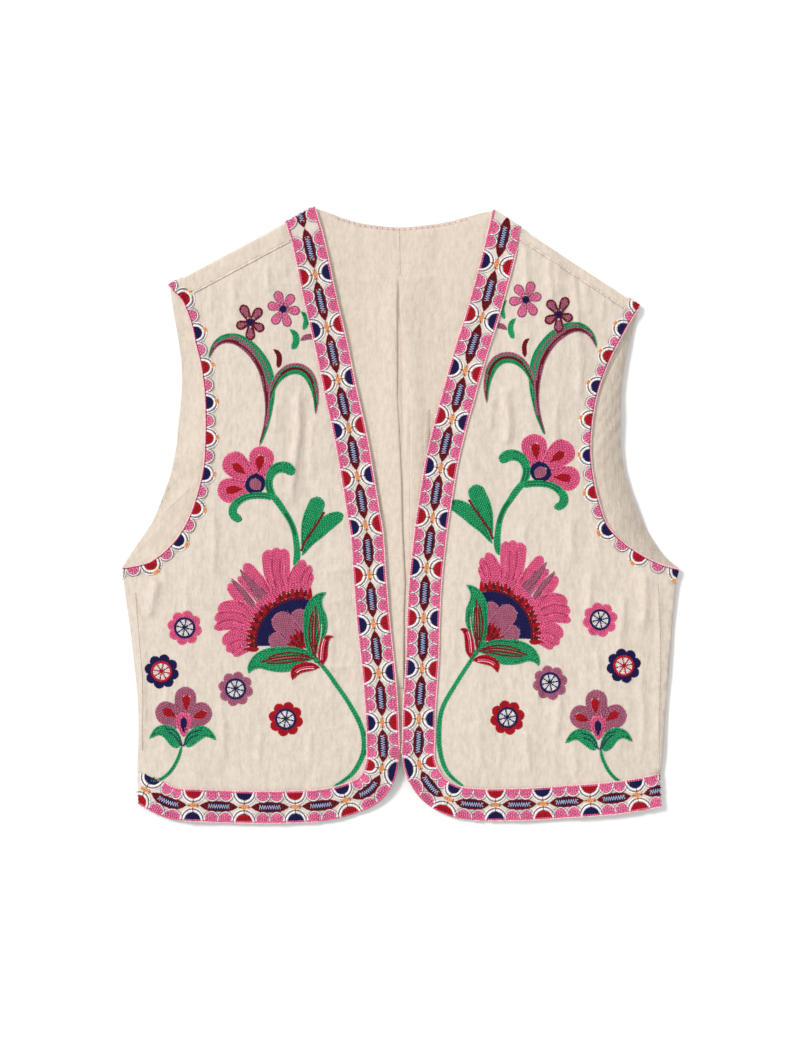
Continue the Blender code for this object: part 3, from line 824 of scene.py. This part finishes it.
for number, side in enumerate(("right", "left")):
    hem, front_edge = EDGE_LINES[side]
    edge_course = Course(curve(hem[:-1] + front_edge))
    middle_course = edge_course.beside(INWARD[side] * TAPE_HALF)
    work = Work(borders[side], seed=11 + number)
    first, hem_pitch, corner_pitch, front_pitch, neck_pitch, shoulder = STATIONS[side]
    pitches = [hem_pitch] * HEM_STATIONS + [corner_pitch]
    pitches += [front_pitch] * FRONT_STATIONS + [neck_pitch] * NECK_STATIONS
    stations = [first]
    for pitch in pitches:
        stations.append(stations[-1] + pitch)
    blue_inside = first <= 10
    if not blue_inside:
        # One more station, past the seam, from which a spindle reaches in.
        stations.insert(0, first - hem_pitch)

    def along_tape(here):
        return work.at(lambda spots: middle_course.at(here + spots[..., 0], INWARD[side] * spots[..., 1]))
    for i, here in enumerate(stations):
        station(along_tape(here), blue_inside == (i % 2 == 0))
    for here, following in zip(stations, [*stations[1:], stations[-1] + neck_pitch]):
        spindle(along_tape(here), (following - here) / 2, (following - here) / 2 - 5.2)
    if shoulder:
        spindle(along_tape(shoulder), 0, 15)
    for left, thread_name in ((12.4, "pink"), (-12.4, "pink"), (13.7, "pale pink"), (-13.7, "pale pink")):
        row = middle_course.beside(INWARD[side] * left)
        work.line(row.line, thread_name, width=1.5, step=2.1, bent=False)
    piece = work.made(side + "_border_embroidery")

# The armhole edgings are narrow tapes of the fronts' own gauze that thin out to nothing on the cloth. They carry the
# border's half discs, alternately red and blue, on the side of the opening, with a peach patch on each one's crown and
# a pink scallop between each two. A pale pink cord finishes the edge.
ARMHOLE_LINES = {
    "right": [(-236, 217), (-223, 219), (-211, 223), (-196, 235), (-184, 251), (-176, 269), (-170, 290), (-167, 307),
              (-166, 329), (-166, 349), (-167, 369), (-170, 390), (-174, 406), (-178.5, 426), (-186, 443.5),
              (-196, 453)],
    "left": [(236, 216), (221, 220), (205, 228), (189, 239), (176, 253), (169, 272), (164.5, 292), (162, 315),
             (163, 337), (166, 357), (172, 378), (180, 397), (189, 414), (197, 428), (203, 437)],
}
edgings = {}
for side in ("right", "left"):
    tape = as_cloth(side + "_armhole_edging", side + "_edging_tape", thinned=(ARMHOLE_LINES[side], 5.0, 11.5))
    dressed(tape, cream_gauze, side + "_armhole_edging")
    edgings[side] = tape

# Up from the side seam: where the first whole half disc is, the way to the next, how much less that is each time, and
# the threads of the first and of the next by turns.
SCALLOPS = {"right": (24.0, 29.9, 0.0, "red", "blue"), "left": (0.0, 35.3, 1.36, "blue", "red")}


def edging_scallops(work, thread_name, pitch):
    """A half disc with its crown, and the pink scallop after it. Places are (along, in from the edge)."""
    half_disc(work, 1.4, 1, thread_name, radius=5.5, depth=6.4)
    work.fill([(-2.2, 10.6), (1.2, 10.6), (4.4, 9.0)], [0.9, 1.9, 0.9], "peach", row=1.1, step=2.2, layer=3)
    scallop(work, pitch / 2, 1.4, 1, 4.9, 6.0)
    for where in (7.6, pitch - 7.6):
        work.line([(where - 1.0, 1.3), (where + 1.0, 1.3)], "blue", width=0.9, layer=2)


for number, side in enumerate(("right", "left")):
    course = Course(curve(ARMHOLE_LINES[side]))
    work = Work(edgings[side], fronts[side], seed=31 + number)
    here, pitch, less, *discs = SCALLOPS[side]
    here -= pitch
    for i in range(-1, 10):
        from_here = work.at(lambda spots: course.at(here + spots[..., 0], -INWARD[side] * spots[..., 1]))
        edging_scallops(from_here, discs[i % 2], pitch)
        here += pitch
        pitch -= less if i >= 0 else 0
    work.line(course.beside(-INWARD[side] * 1.3).line, "deep pink", width=1.0, step=2.6, bent=False)
    work.line(course.beside(-INWARD[side] * 0.5).line, "pale pink", width=1.4, step=1.9, bent=False)
    piece = work.made(side + "_edging_embroidery")

# The flowers of each front, worked on the cloth itself: two small ones and arching blades of grass at the shoulder, a
# spray of scrolls, leaves and a three-lobed flower below them, the great flower on its long stem, and a tulip and four
# round flowers towards the side. Each is drawn about its own foot as (towards the side seam, up) in mm, and the two
# fronts mirror each other, apart from small differences of place.


def arc(radius, angles):
    """Points round the foot, at these angles."""
    return [(radius * math.cos(math.radians(a)), radius * math.sin(math.radians(a))) for a in angles]


def on_front(side, out, up, width=1.0):
    """Puts a motif's foot at a place on a front, and makes it this much as wide."""
    def place(spots):
        return np.stack([-INWARD[side] * (out + width * spots[..., 0]), up + spots[..., 1]], axis=-1)
    return place


def shoulder_flowers(five, six):
    """A mauve flower of five petals with dark red outlines, and a pink one of six."""
    five.disc((0, 0), 4.6, "dark red", row=1.2, step=2.2)
    six.disc((0, 0), 4.4, "old rose", row=1.2, step=2.2)
    for angle, reach in ((64, 16.6), (128, 15.3), (209, 13.5), (270, 15.6), (-17, 12.7)):
        five.fill(spoke(angle, 1.5, reach), [1.6, 3.2, 4.4, 4.5], "dark red", row=1.2, step=2.4, layer=2)
        five.fill(spoke(angle, 4.2, reach - 1.5), [1.0, 2.3, 3.1, 2.9], "mauve", row=1.2, step=2.4, layer=3,
                  edge=False)
    five.disc((0, 0), 3.2, "blue", layer=4, row=1.1, step=2.0)
    for angle, reach in ((70, 16.4), (125, 15.3), (187, 14.5), (253, 15.8), (304, 15.6), (15, 13.9)):
        six.fill(spoke(angle, 1.5, reach), [1.2, 2.8, 4.3, 4.2], "old rose", row=1.0, step=2.4)
        six.fill(spoke(angle, 2.5, reach - 0.9), [0.9, 2.1, 3.3, 3.1], "bright pink", row=1.1, step=2.4, layer=1)
    six.disc((0, 0), 3.3, "blue", layer=2, row=1.1, step=2.0)


def loose_leaves(work):
    """The four small leaves under the two flowers."""
    for spine, half_width, name in (
            ([(4.9, 8.2), (1.2, 4.8), (-0.2, 0.4), (1.0, -4.6), (2.4, -7.7)], 2.3, "green"),
            ([(14.2, -7.2), (9.7, -10.8), (8.2, -15.8), (9.6, -20.8), (12.0, -24.2)], 2.9, "green"),
            ([(5.0, -17.0), (-0.2, -13.8), (-6.6, -13.6)], 2.6, "mauve"),
            ([(28.1, -24.2), (24.1, -27.0), (22.5, -31.4), (23.5, -40.1)], 2.4, "dark red")):
        work.fill(spine, [0.3, half_width * 0.8, half_width, half_width, half_width * 0.8], name, row=1.2, step=2.4)


def grass(work):
    """Two arching blades that spring from one foot, each striped along in several threads."""
    stripes = [(-0.42, "green"), (-0.2, "mauve"), (0.1, "green"), (0.34, "mauve"), (0.68, "dark red"), (1, "old rose")]
    turned = [(-0.3, "green"), (0.15, "dark red"), (0.45, "green"), (1, "mauve")]
    work.fill([(51.0, 36.1), (46.8, 46.3), (39.9, 52.6), (30.3, 53.6), (21.0, 49.8), (11.6, 41.4), (3.5, 28.8),
               (0.0, 15.3), (-0.8, 0.0), (1.7, -18.7), (7.6, -37.4)],
              [0.3, 2.4, 4.2, 5.4, 5.8, 6.0, 5.6, 4.2, 2.6, 1.7, 0.7], "green", row=1.15, step=2.9,
              bands=stripes, caps=(0, 0))
    work.fill([(-39.9, -11.0), (-40.3, 0.0), (-39.1, 10.2), (-34.9, 21.2), (-28.9, 26.8), (-21.2, 28.1),
               (-13.6, 25.1), (-7.2, 18.5), (-3.0, 9.3), (-1.2, 0.0)],
              [0.3, 1.8, 3.0, 4.2, 4.7, 4.8, 4.2, 3.2, 2.0, 0.8], "green", row=1.15, step=2.9, layer=1,
              bands=turned, caps=(0, 0))


def spray(work):
    """The three-lobed pink flower with its scrolls, stem and pair of leaves."""
    work.fill([(3.4, 3.4), (0.3, -0.6), (-3.4, -5.2), (-9, -13.8), (-13.2, -20.4), (-16.8, -30), (-18.4, -40),
               (-19, -50), (-17, -59.5)], [2.6, 2.9, 2.6, 2.4, 2.4, 2.5, 2.7, 3.0, 2.0], "green")
    for spine, widths in (
            ([(14, 12), (11.5, 30), (9.8, 43)], [3.0, 8.0, 10.7, 10.4]),
            ([(17, 12), (32, 26), (41.4, 35)], [3.0, 8.0, 11.0, 10.8]),
            ([(18, 9), (36, 6), (48.6, 3.4)], [3.0, 7.5, 10.6, 10.2])):
        work.fill(spine, widths, "pink", caps=(None, 9))
    for start, end in (((13.8, 21), (11.4, 35.5)), ((24.4, 19.4), (35.6, 27.8)), ((26.5, 7), (41.5, 5.4))):
        work.fill([start, end], [0.4, 1.8, 3.6, 3.8, 2.4], "red", row=1.2, step=2.4, layer=1)
    work.fill([(10, 5.2), (22.6, 16.4)], [5.4, 8.6, 9.0, 8.4], "blue", layer=2, row=1.3, caps=(4, 6))
    work.fill([(11.6, 7.4), (20.6, 13.6)], [3.0, 4.6, 5.0, 4.2], "mauve", row=1.2, step=2.2, layer=3)
    work.fill([(0.5, -1), (4.4, 7), (4.8, 15), (1.4, 22), (-5, 25.3), (-11.6, 24.2), (-16, 18.6)],
              [2.4, 3.1, 3.2, 3.8, 4.6, 4.9, 3.6], "green", layer=1)
    work.fill([(0.5, -1), (8, 1), (16, 1.2), (24, 0), (31, -4), (35.5, -10), (34.6, -16.2), (27.6, -19.6)],
              [2.2, 2.9, 2.8, 2.8, 3.1, 3.5, 3.7, 3.2], "green", layer=1)
    work.fill([(-23.4, -44), (-27, -28), (-31, -17), (-35.4, -7), (-37.4, 0.2)], [0.8, 3.6, 6.3, 7.2, 6.6], "green",
              caps=(None, 6))
    work.fill([(-22.8, -50), (-30, -38.4), (-38, -28.4), (-47, -20.4), (-58.2, -14.8)], [0.6, 3.0, 6.2, 6.6, 3.2],
              "green", caps=(None, 3))
    work.line([(-22.6, -46), (-25, -39), (-31, -30), (-37, -21), (-42, -12.6)], "dark red", width=2.6, layer=2)


def great_flower(work, stem):
    """The great flower on its stem: a fan of pink petals, a pink band with a toothed red edge, a blue band, three mauve
    petals round a red heart, and two green and two red leaves at its foot."""
    work.fill(stem, [1.6, 1.8, 1.9, 2.0, 2.2, 2.3, 2.2, 1.7, 0.5], "green")
    for spine, widths in (
            ([(9, 54), (7.2, 64), (2.4, 72.5)], [2.5, 3.8, 3.6, 2.6]),
            ([(11, 55), (9, 68), (4.6, 80)], [4.0, 5.0, 4.6, 3.2]),
            ([(16, 56), (16.2, 69), (9.8, 84.5)], [5.0, 6.6, 6.0, 3.4]),
            ([(26, 54), (27.2, 72), (27.4, 94.2)], [3.0, 5.0, 5.7, 5.0]),
            ([(32.5, 56), (38, 72), (40.4, 93.2)], [2.4, 5.2, 6.0, 5.4]),
            ([(29, 54), (32.2, 72), (33.6, 95)], [4.0, 5.4, 6.0, 5.2]),
            ([(35, 50), (45, 62.5), (52, 71), (60.4, 81.2)], [1.8, 4.6, 5.2, 4.2]),
            ([(43, 44.5), (53, 57), (60, 65), (66, 70)], [2.2, 3.4, 3.8, 2.8]),
            ([(52, 38), (61, 49), (68, 57), (73.8, 64.2)], [2.6, 4.8, 5.2, 4.0]),
            ([(53, 35), (66, 43.4), (83.2, 42.4)], [4.0, 6.4, 6.8, 4.2]),
            ([(56, 27), (70, 30.5), (86.2, 26.6)], [3.0, 4.8, 4.6, 2.8]),
            ([(55, 31), (70, 37), (85.8, 34.6)], [3.0, 5.5, 5.6, 4.0]),
            ([(52, 12.5), (62, 9), (69.6, 3)], [2.6, 4.4, 4.2, 2.8]),
            ([(54, 15), (66, 13), (75.6, 7)], [3.0, 5.2, 5.0, 3.0]),
            ([(55, 20), (67, 20.4), (79, 13.4)], [4.0, 6.2, 6.2, 3.8])):
        work.fill(spine, widths, "pink", row=1.3, step=2.6)
    for line in ([(13.5, 56), (12.5, 68), (6.5, 78)], [(10, 55), (7, 66), (3.5, 73)], [(23.2, 58), (23, 66), (21, 74)],
                 [(35, 52), (42, 62), (45, 71)], [(54, 33), (68, 40), (83, 39)], [(56, 29), (70, 33.5), (84, 31)],
                 [(57, 25), (66, 26), (76, 25.5)], [(55, 17), (66, 16.4), (76, 10.6)], [(53, 13.4), (63, 11), (71, 5)],
                 [(31, 56), (36, 72), (37, 86)], [(28, 56), (30, 72), (30.4, 86)], [(53, 36), (60, 44), (66, 50)]):
        work.line(line, "deep pink", width=0.8, layer=1)
    for spine, widths in (
            ([(35.4, 45.4), (48, 58), (57, 67), (64.2, 76.5)], [0.4, 2.8, 3.8, 3.2, 0.6]),
            ([(44, 46.5), (50, 53.5), (56, 61.5)], [0.9, 1.5, 0.3]),
            ([(46.4, 38.8), (57, 51), (64, 60), (71.5, 68.8)], [0.4, 2.6, 3.0, 2.4, 0.5])):
        work.fill(spine, widths, "mauve", layer=1, row=1.3, step=2.4, edge=False)
    for line in ([(38, 49), (49, 61), (60, 73)], [(41, 46), (52, 58), (63, 71)], [(50, 41), (60, 53), (72, 67)]):
        work.line(line, "old rose", width=0.8, layer=2)
    heart = work.at(lambda spots: work.place(spots + (12.2, 13.4)))
    heart.fill(arc(46, range(-3, 100, 6)), [5.6, 5.6, 5.6], "pink", caps=(1, 1), edge=False)
    for i in range(23):
        angle = -6 + 4.8 * i
        reach = 47.6 + (1.8, -1.4, 1.0, -0.4)[i % 4] - 3.0 * math.exp(-((angle - 55) / 9) ** 2)
        heart.fill(spoke(angle, 36, reach), [3.0, 2.5, 0.2], ("red", "dark red")[i % 2], layer=2, row=1.1, step=2.2,
                   edge=False)
    heart.fill(arc(38.4, range(-6, 100, 6)), [1.6, 1.6, 1.6], "dark red", layer=2, row=1.2, caps=(1, 1), edge=False)
    heart.fill(arc(27, range(-4, 106, 6)), [11, 11, 11], "blue", layer=3, caps=(0, 0))
    for spine, widths, cap in (
            ([(12.4, 20), (14, 43.2)], [6.5, 7.5, 7.4], 7.0), ([(14, 14), (39.8, 16.6)], [5.0, 7.4, 8.4], 8.0),
            ([(14, 16), (34, 38.6)], [7.5, 9.4, 9.6], 9.0)):
        work.fill(spine, widths, "mauve", layer=4, row=1.3, step=2.4, caps=(2, cap))
    work.disc((14, 14.5), 4.6, "red", layer=5)
    for i, reach in enumerate((17.5, 16.5, 19, 17, 19.5, 17.5, 16)):
        angle = 14 + 12.5 * i
        work.fill(np.add((8.8, 9.4), spoke(angle, 0, reach)), [1.4, 2.5, 2.1, 0.3], ("red", "dark red")[i % 2],
                  layer=5, row=1.1, step=2.4, edge=False)
    work.fill([(0.6, 0.4), (8, 3.2), (16, 2.2), (26, 0.4), (36, 0.2), (46, -0.6), (52, -3.5), (55.5, -7.5),
               (57, -11.7)], [0.8, 5.4, 9.6, 11.1, 10.6, 8.2, 4.4, 0.3], "green", layer=5, caps=(1, 0))
    work.fill([(0.6, 0.4), (3.4, 9), (3.2, 15), (1.2, 22), (0.2, 29), (1.2, 40), (0.3, 47), (-2, 52), (-5.5, 55),
               (-9.2, 57)], [0.8, 4.0, 7.5, 10.4, 10.4, 7.6, 3.8, 0.3], "green", layer=5, caps=(1, 0))
    for spine, widths in (([(2, 1), (14, 2.2), (28, 1.2), (46, -2.2)], [0.4, 3.2, 4.8, 3.8, 0.6]),
                          ([(0.4, 2), (1.8, 14), (1.6, 26), (0.2, 45)], [0.4, 3.0, 4.6, 3.6, 0.6])):
        work.fill(spine, np.array(widths) * 0.4, "tan", layer=6, row=1.2, step=2.6, caps=(0, 0), edge=False)
        course = Course(curve(spine))
        for share, ends in ((-0.9, (0.08, 0.9)), (-0.3, (0.2, 0.8)), (0.3, (0.0, 1.0)), (0.9, (0.08, 0.84))):
            marks = np.linspace(*ends, 24)
            half = np.interp(marks, np.linspace(0, 1, len(widths)), widths)
            work.line(course.at(marks * course.length, share * half), "dark red", width=1.7, layer=7,
                      step=2.6, bent=False, overlap=0.25)
    for line in ([(-2.6, 12), (-4.4, 20), (-5.2, 30)], [(-1.4, 16), (-2.8, 26), (-2.2, 38)]):
        work.line(line, "cream", width=0.7, layer=6, overlap=0.3)
    for line in ([(-4.4, 16), (-7.4, 26), (-5.8, 36)], [(8, 7.6), (22, 9.6), (38, 7.8)],
                 [(7.8, 12), (8.8, 26), (6.6, 42)]):
        work.line(line, "dark green", width=0.8, layer=6)
    work.disc((-0.6, -0.4), 2.6, "green", layer=7, row=1.2, step=2.2, edge=False)
    for spine, widths in (
            ([(-5.5, -5), (-6, 3), (-6.8, 11), (-9.8, 18.4), (-15.3, 19.5)], [0.4, 4.2, 4.0, 2.7, 0.3]),
            ([(-3.5, -6.8), (3, -6), (10, -6.5), (17, -9.6), (19.6, -17.4)], [0.5, 3.6, 4.3, 3.8, 0.3])):
        work.fill(spine, widths, "red", layer=6, caps=(0, 0))
        for left, thread_name in ((-1.5, "pale pink"), (0.1, "pink"), (1.5, "dark red")):
            row = Course(curve(spine)).beside(left)
            work.line(row.line[10:-16], thread_name, width=1.0, layer=7, bent=False, overlap=0.3)


def tulip(work):
    """A mauve tulip with red drops, on a short bent stem between two striped leaves."""
    work.fill([(0.8, 1), (3.2, -8), (7.5, -17), (13, -24), (20, -28.4), (28.5, -29.8)],
              [1.1, 1.5, 1.7, 1.6, 1.4, 0.6], "green")
    for spine, widths in (([(-1, 14), (-2.6, 50.6)], [4.0, 8.0, 9.3, 9.2]),
                          ([(0, 17), (12, 27), (23.6, 30.6)], [5, 9, 10, 9.6]),
                          ([(-1, 17), (-13, 26.6), (-24.8, 28.6)], [5, 9, 10, 9.6])):
        work.fill(spine, widths, "mauve", row=1.3, caps=(None, 9))
    for start, end in (((-2.6, 29.5), (-3.2, 43.4)), ((5.4, 24.4), (16.6, 31)), ((-8, 24), (-20, 28.4))):
        work.fill([start, end], [0.4, 1.9, 3.3, 3.8, 2.6], "red", row=1.2, step=2.4, layer=1)
    work.fill([(-0.6, 8), (-0.6, 29)], [0.8, 4.8, 7.0, 7.2], "pink", layer=2, caps=(0, 6))
    work.fill([(-0.8, 11), (-0.9, 24.4)], [0.4, 1.9, 3.1, 2.9], "blue", row=1.1, step=2.2, layer=3)
    for leaf, widths in (
            ([(4.5, -1.6), (7, 5), (11, 11), (16, 13.4), (22, 12.4), (28.8, 6)], [3.2, 6.0, 6.2, 4.7, 2.5, 0.2]),
            ([(-3.6, -0.8), (-7, 6), (-12, 10.6), (-17, 12.6), (-22.5, 10.6), (-28.6, 5)],
             [2.6, 5.4, 6.0, 4.7, 2.6, 0.2])):
        work.fill(leaf, widths, "green", layer=3, caps=(None, 0))
    for line in ([(0.4, 0), (3.2, 8), (7.6, 13.6), (15, 14.8)], [(1.6, 0.6), (5.4, 7), (9.6, 11), (13, 12)],
                 [(-0.6, 0), (-3, 7), (-7.6, 11.6), (-16, 14)], [(-2, 1), (-6, 7), (-10.6, 9), (-13.4, 10)]):
        work.line(line, "teal", width=1.4, layer=4)


def round_flower(work, petals, ring):
    """Eight petals round a white eye cut by spokes."""
    for angle in range(12, 372, 45):
        work.fill(spoke(angle, 6.5, 15.0), [3.0, 4.3, 4.9, 4.4], petals, row=1.3, step=2.4)
    work.disc((0, 0), 8.2, "white", row=1.1, step=2.2, layer=1, edge=False)
    work.line(arc(8.2, np.linspace(0, 360, 36)), ring, width=2.6, step=2.0, layer=2, bent=False, overlap=0.3)
    for angle in range(12, 372, 45):
        work.line(spoke(angle, 1.0, 7.4), ring, width=1.4, layer=2, step=3.2)
    work.disc((0, 0), 1.9, ring, row=0.9, step=1.6, layer=3, edge=False)


# Each motif's foot on each front: out from the middle, up from the hem, and how wide it is made, where that isn't 1.
FEET = {
    "right": {"five": (127.2, 424.6), "six": (99.4, 435.9), "leaves": (80.0, 426.1), "grass": (111.8, 357.5),
              "spray": (106.6, 276.8), "great": (71.9, 139.0), "tulip": (184.3, 65.6), "pink": (182.8, 165.9),
              "blue": (202.4, 128.8), "mauve": (139.7, 114.2), "red": (97.1, 88.7)},
    "left": {"five": (134.0, 431.1), "six": (106.1, 443.7), "leaves": (86.3, 435.3, 0.82),
             "grass": (114.3, 366.9, 1.03), "spray": (101.6, 287.0, 1.04), "great": (64.2, 145.2, 0.93),
             "tulip": (167.9, 63.2), "pink": (168.9, 172.8), "blue": (189.1, 133.8), "mauve": (126.6, 119.4),
             "red": (90.5, 89.9)},
}
# The great flower's stem on each front, down from the flower's own foot.
STEMS = {
    "right": [(0, 0), (-7.7, -7.6), (-16.2, -19.5), (-29.0, -38.2), (-39.2, -58.6), (-40.9, -76.4), (-35.8, -90.0),
              (-28.1, -99.4), (-14.5, -107.9)],
    "left": [(0, 0), (-5.5, -7.8), (-15.6, -22.3), (-31.1, -47.8), (-34.0, -69.9), (-32.0, -88.6), (-25.2, -103.0),
             (-11.0, -114.1)],
}
for number, side in enumerate(("right", "left")):
    def foot(name):
        return work.at(on_front(side, *FEET[side][name]))

    work = Work(fronts[side], borders[side], seed=51 + number)
    loose_leaves(foot("leaves"))
    grass(foot("grass"))
    shoulder_flowers(foot("five"), foot("six"))
    spray(foot("spray"))
    piece = work.made(side + "_upper_flowers")
    work = Work(fronts[side], borders[side], seed=61 + number)
    great_flower(foot("great"), STEMS[side])
    tulip(foot("tulip"))
    for name, ring in (("pink", "blue"), ("blue", "red"), ("mauve", "blue"), ("red", "blue")):
        round_flower(foot(name), name, ring)
    piece = work.made(side + "_lower_flowers")

# The seams: fine cream stitches along both shoulders and up both sides, and on the back's closed pleat; and
# overcasting in pale pink, cream and mauve on the back's neck edge.
work = Work(back, fronts["right"], fronts["left"], seed=81)
work.bridging = True
for line in ([(-94, 493.3), (-186.5, 444.2)], [(101, 495.4), (199, 431.2)]):
    work.line(line, "cream", width=2.2, step=1.9, layer=0, overlap=0.4)
for line in ([(-225, 196), (-222, 160), (-219, 120), (-219, 62)], [(218, 204), (220, 150), (219, 100), (219, 47)],
             [(-1.0, 503), (-0.6, 466)]):
    work.line(line, "cream", width=0.7, step=2.4, layer=0, height=0.5)
neck = Course(curve([(-56, 513.6), (-36, 507.4), (-20, 504.9), (0, 503.4), (14, 504.4), (37, 507.4), (60, 513)]))
OVERCAST_STEP = 1.6
for i in range(int(neck.length / OVERCAST_STEP)):
    ends = neck.at([OVERCAST_STEP * i, OVERCAST_STEP * i + 0.9], [1.1, -0.9])
    work.stitch(ends[0], ends[1], 0.6, ("pale pink", "cream", "mauve")[i % 3], 0, 0.6)
piece = work.made("seam_stitching")

# The floor is a plain pale sheet, wide enough to fill every view.
floor = added("floor", bpy.data.meshes.new("floor"))
FLOOR_CORNERS = [(-30, -30, -0.001), (30, -30, -0.001), (30, 30, -0.001), (-30, 30, -0.001)]
floor.data.from_pydata(FLOOR_CORNERS, [], [(0, 1, 2, 3)])
floor_paint = bpy.data.materials.new("pale_floor")
floor_paint.use_nodes = True
paint = floor_paint.node_tree.nodes["Principled BSDF"].inputs
paint["Base Color"].default_value = (0.93, 0.93, 0.93, 1)
paint["Roughness"].default_value = 0.9
floor.data.materials.append(floor_paint)

# Soft studio light: a bright surround and a broad sun from the upper left.
world = bpy.data.worlds.new("studio")
bpy.context.scene.world = world
world.use_nodes = True
sky = world.node_tree.nodes["Background"].inputs
sky["Color"].default_value = (1, 1, 1, 1)
sky["Strength"].default_value = 0.72
lamp = bpy.data.lights.new("sun", "SUN")
lamp.angle = math.radians(14)
lamp.energy = 1.95
light = added("sun", lamp)
light.rotation_euler = Vector((1.0, -0.7, -1.3)).to_track_quat("-Z", "Y").to_euler()

# The camera looks straight down, with the neck at the top of the picture.
CAMERA_HEIGHT = 2.087
lens = bpy.data.cameras.new("camera")
lens.lens = 85
lens.sensor_width = 36
camera = added("camera", lens)
camera.location = (-0.0004, -0.0045, CAMERA_HEIGHT)
bpy.context.scene.camera = camera
bpy.context.scene.view_settings.view_transform = "Standard"
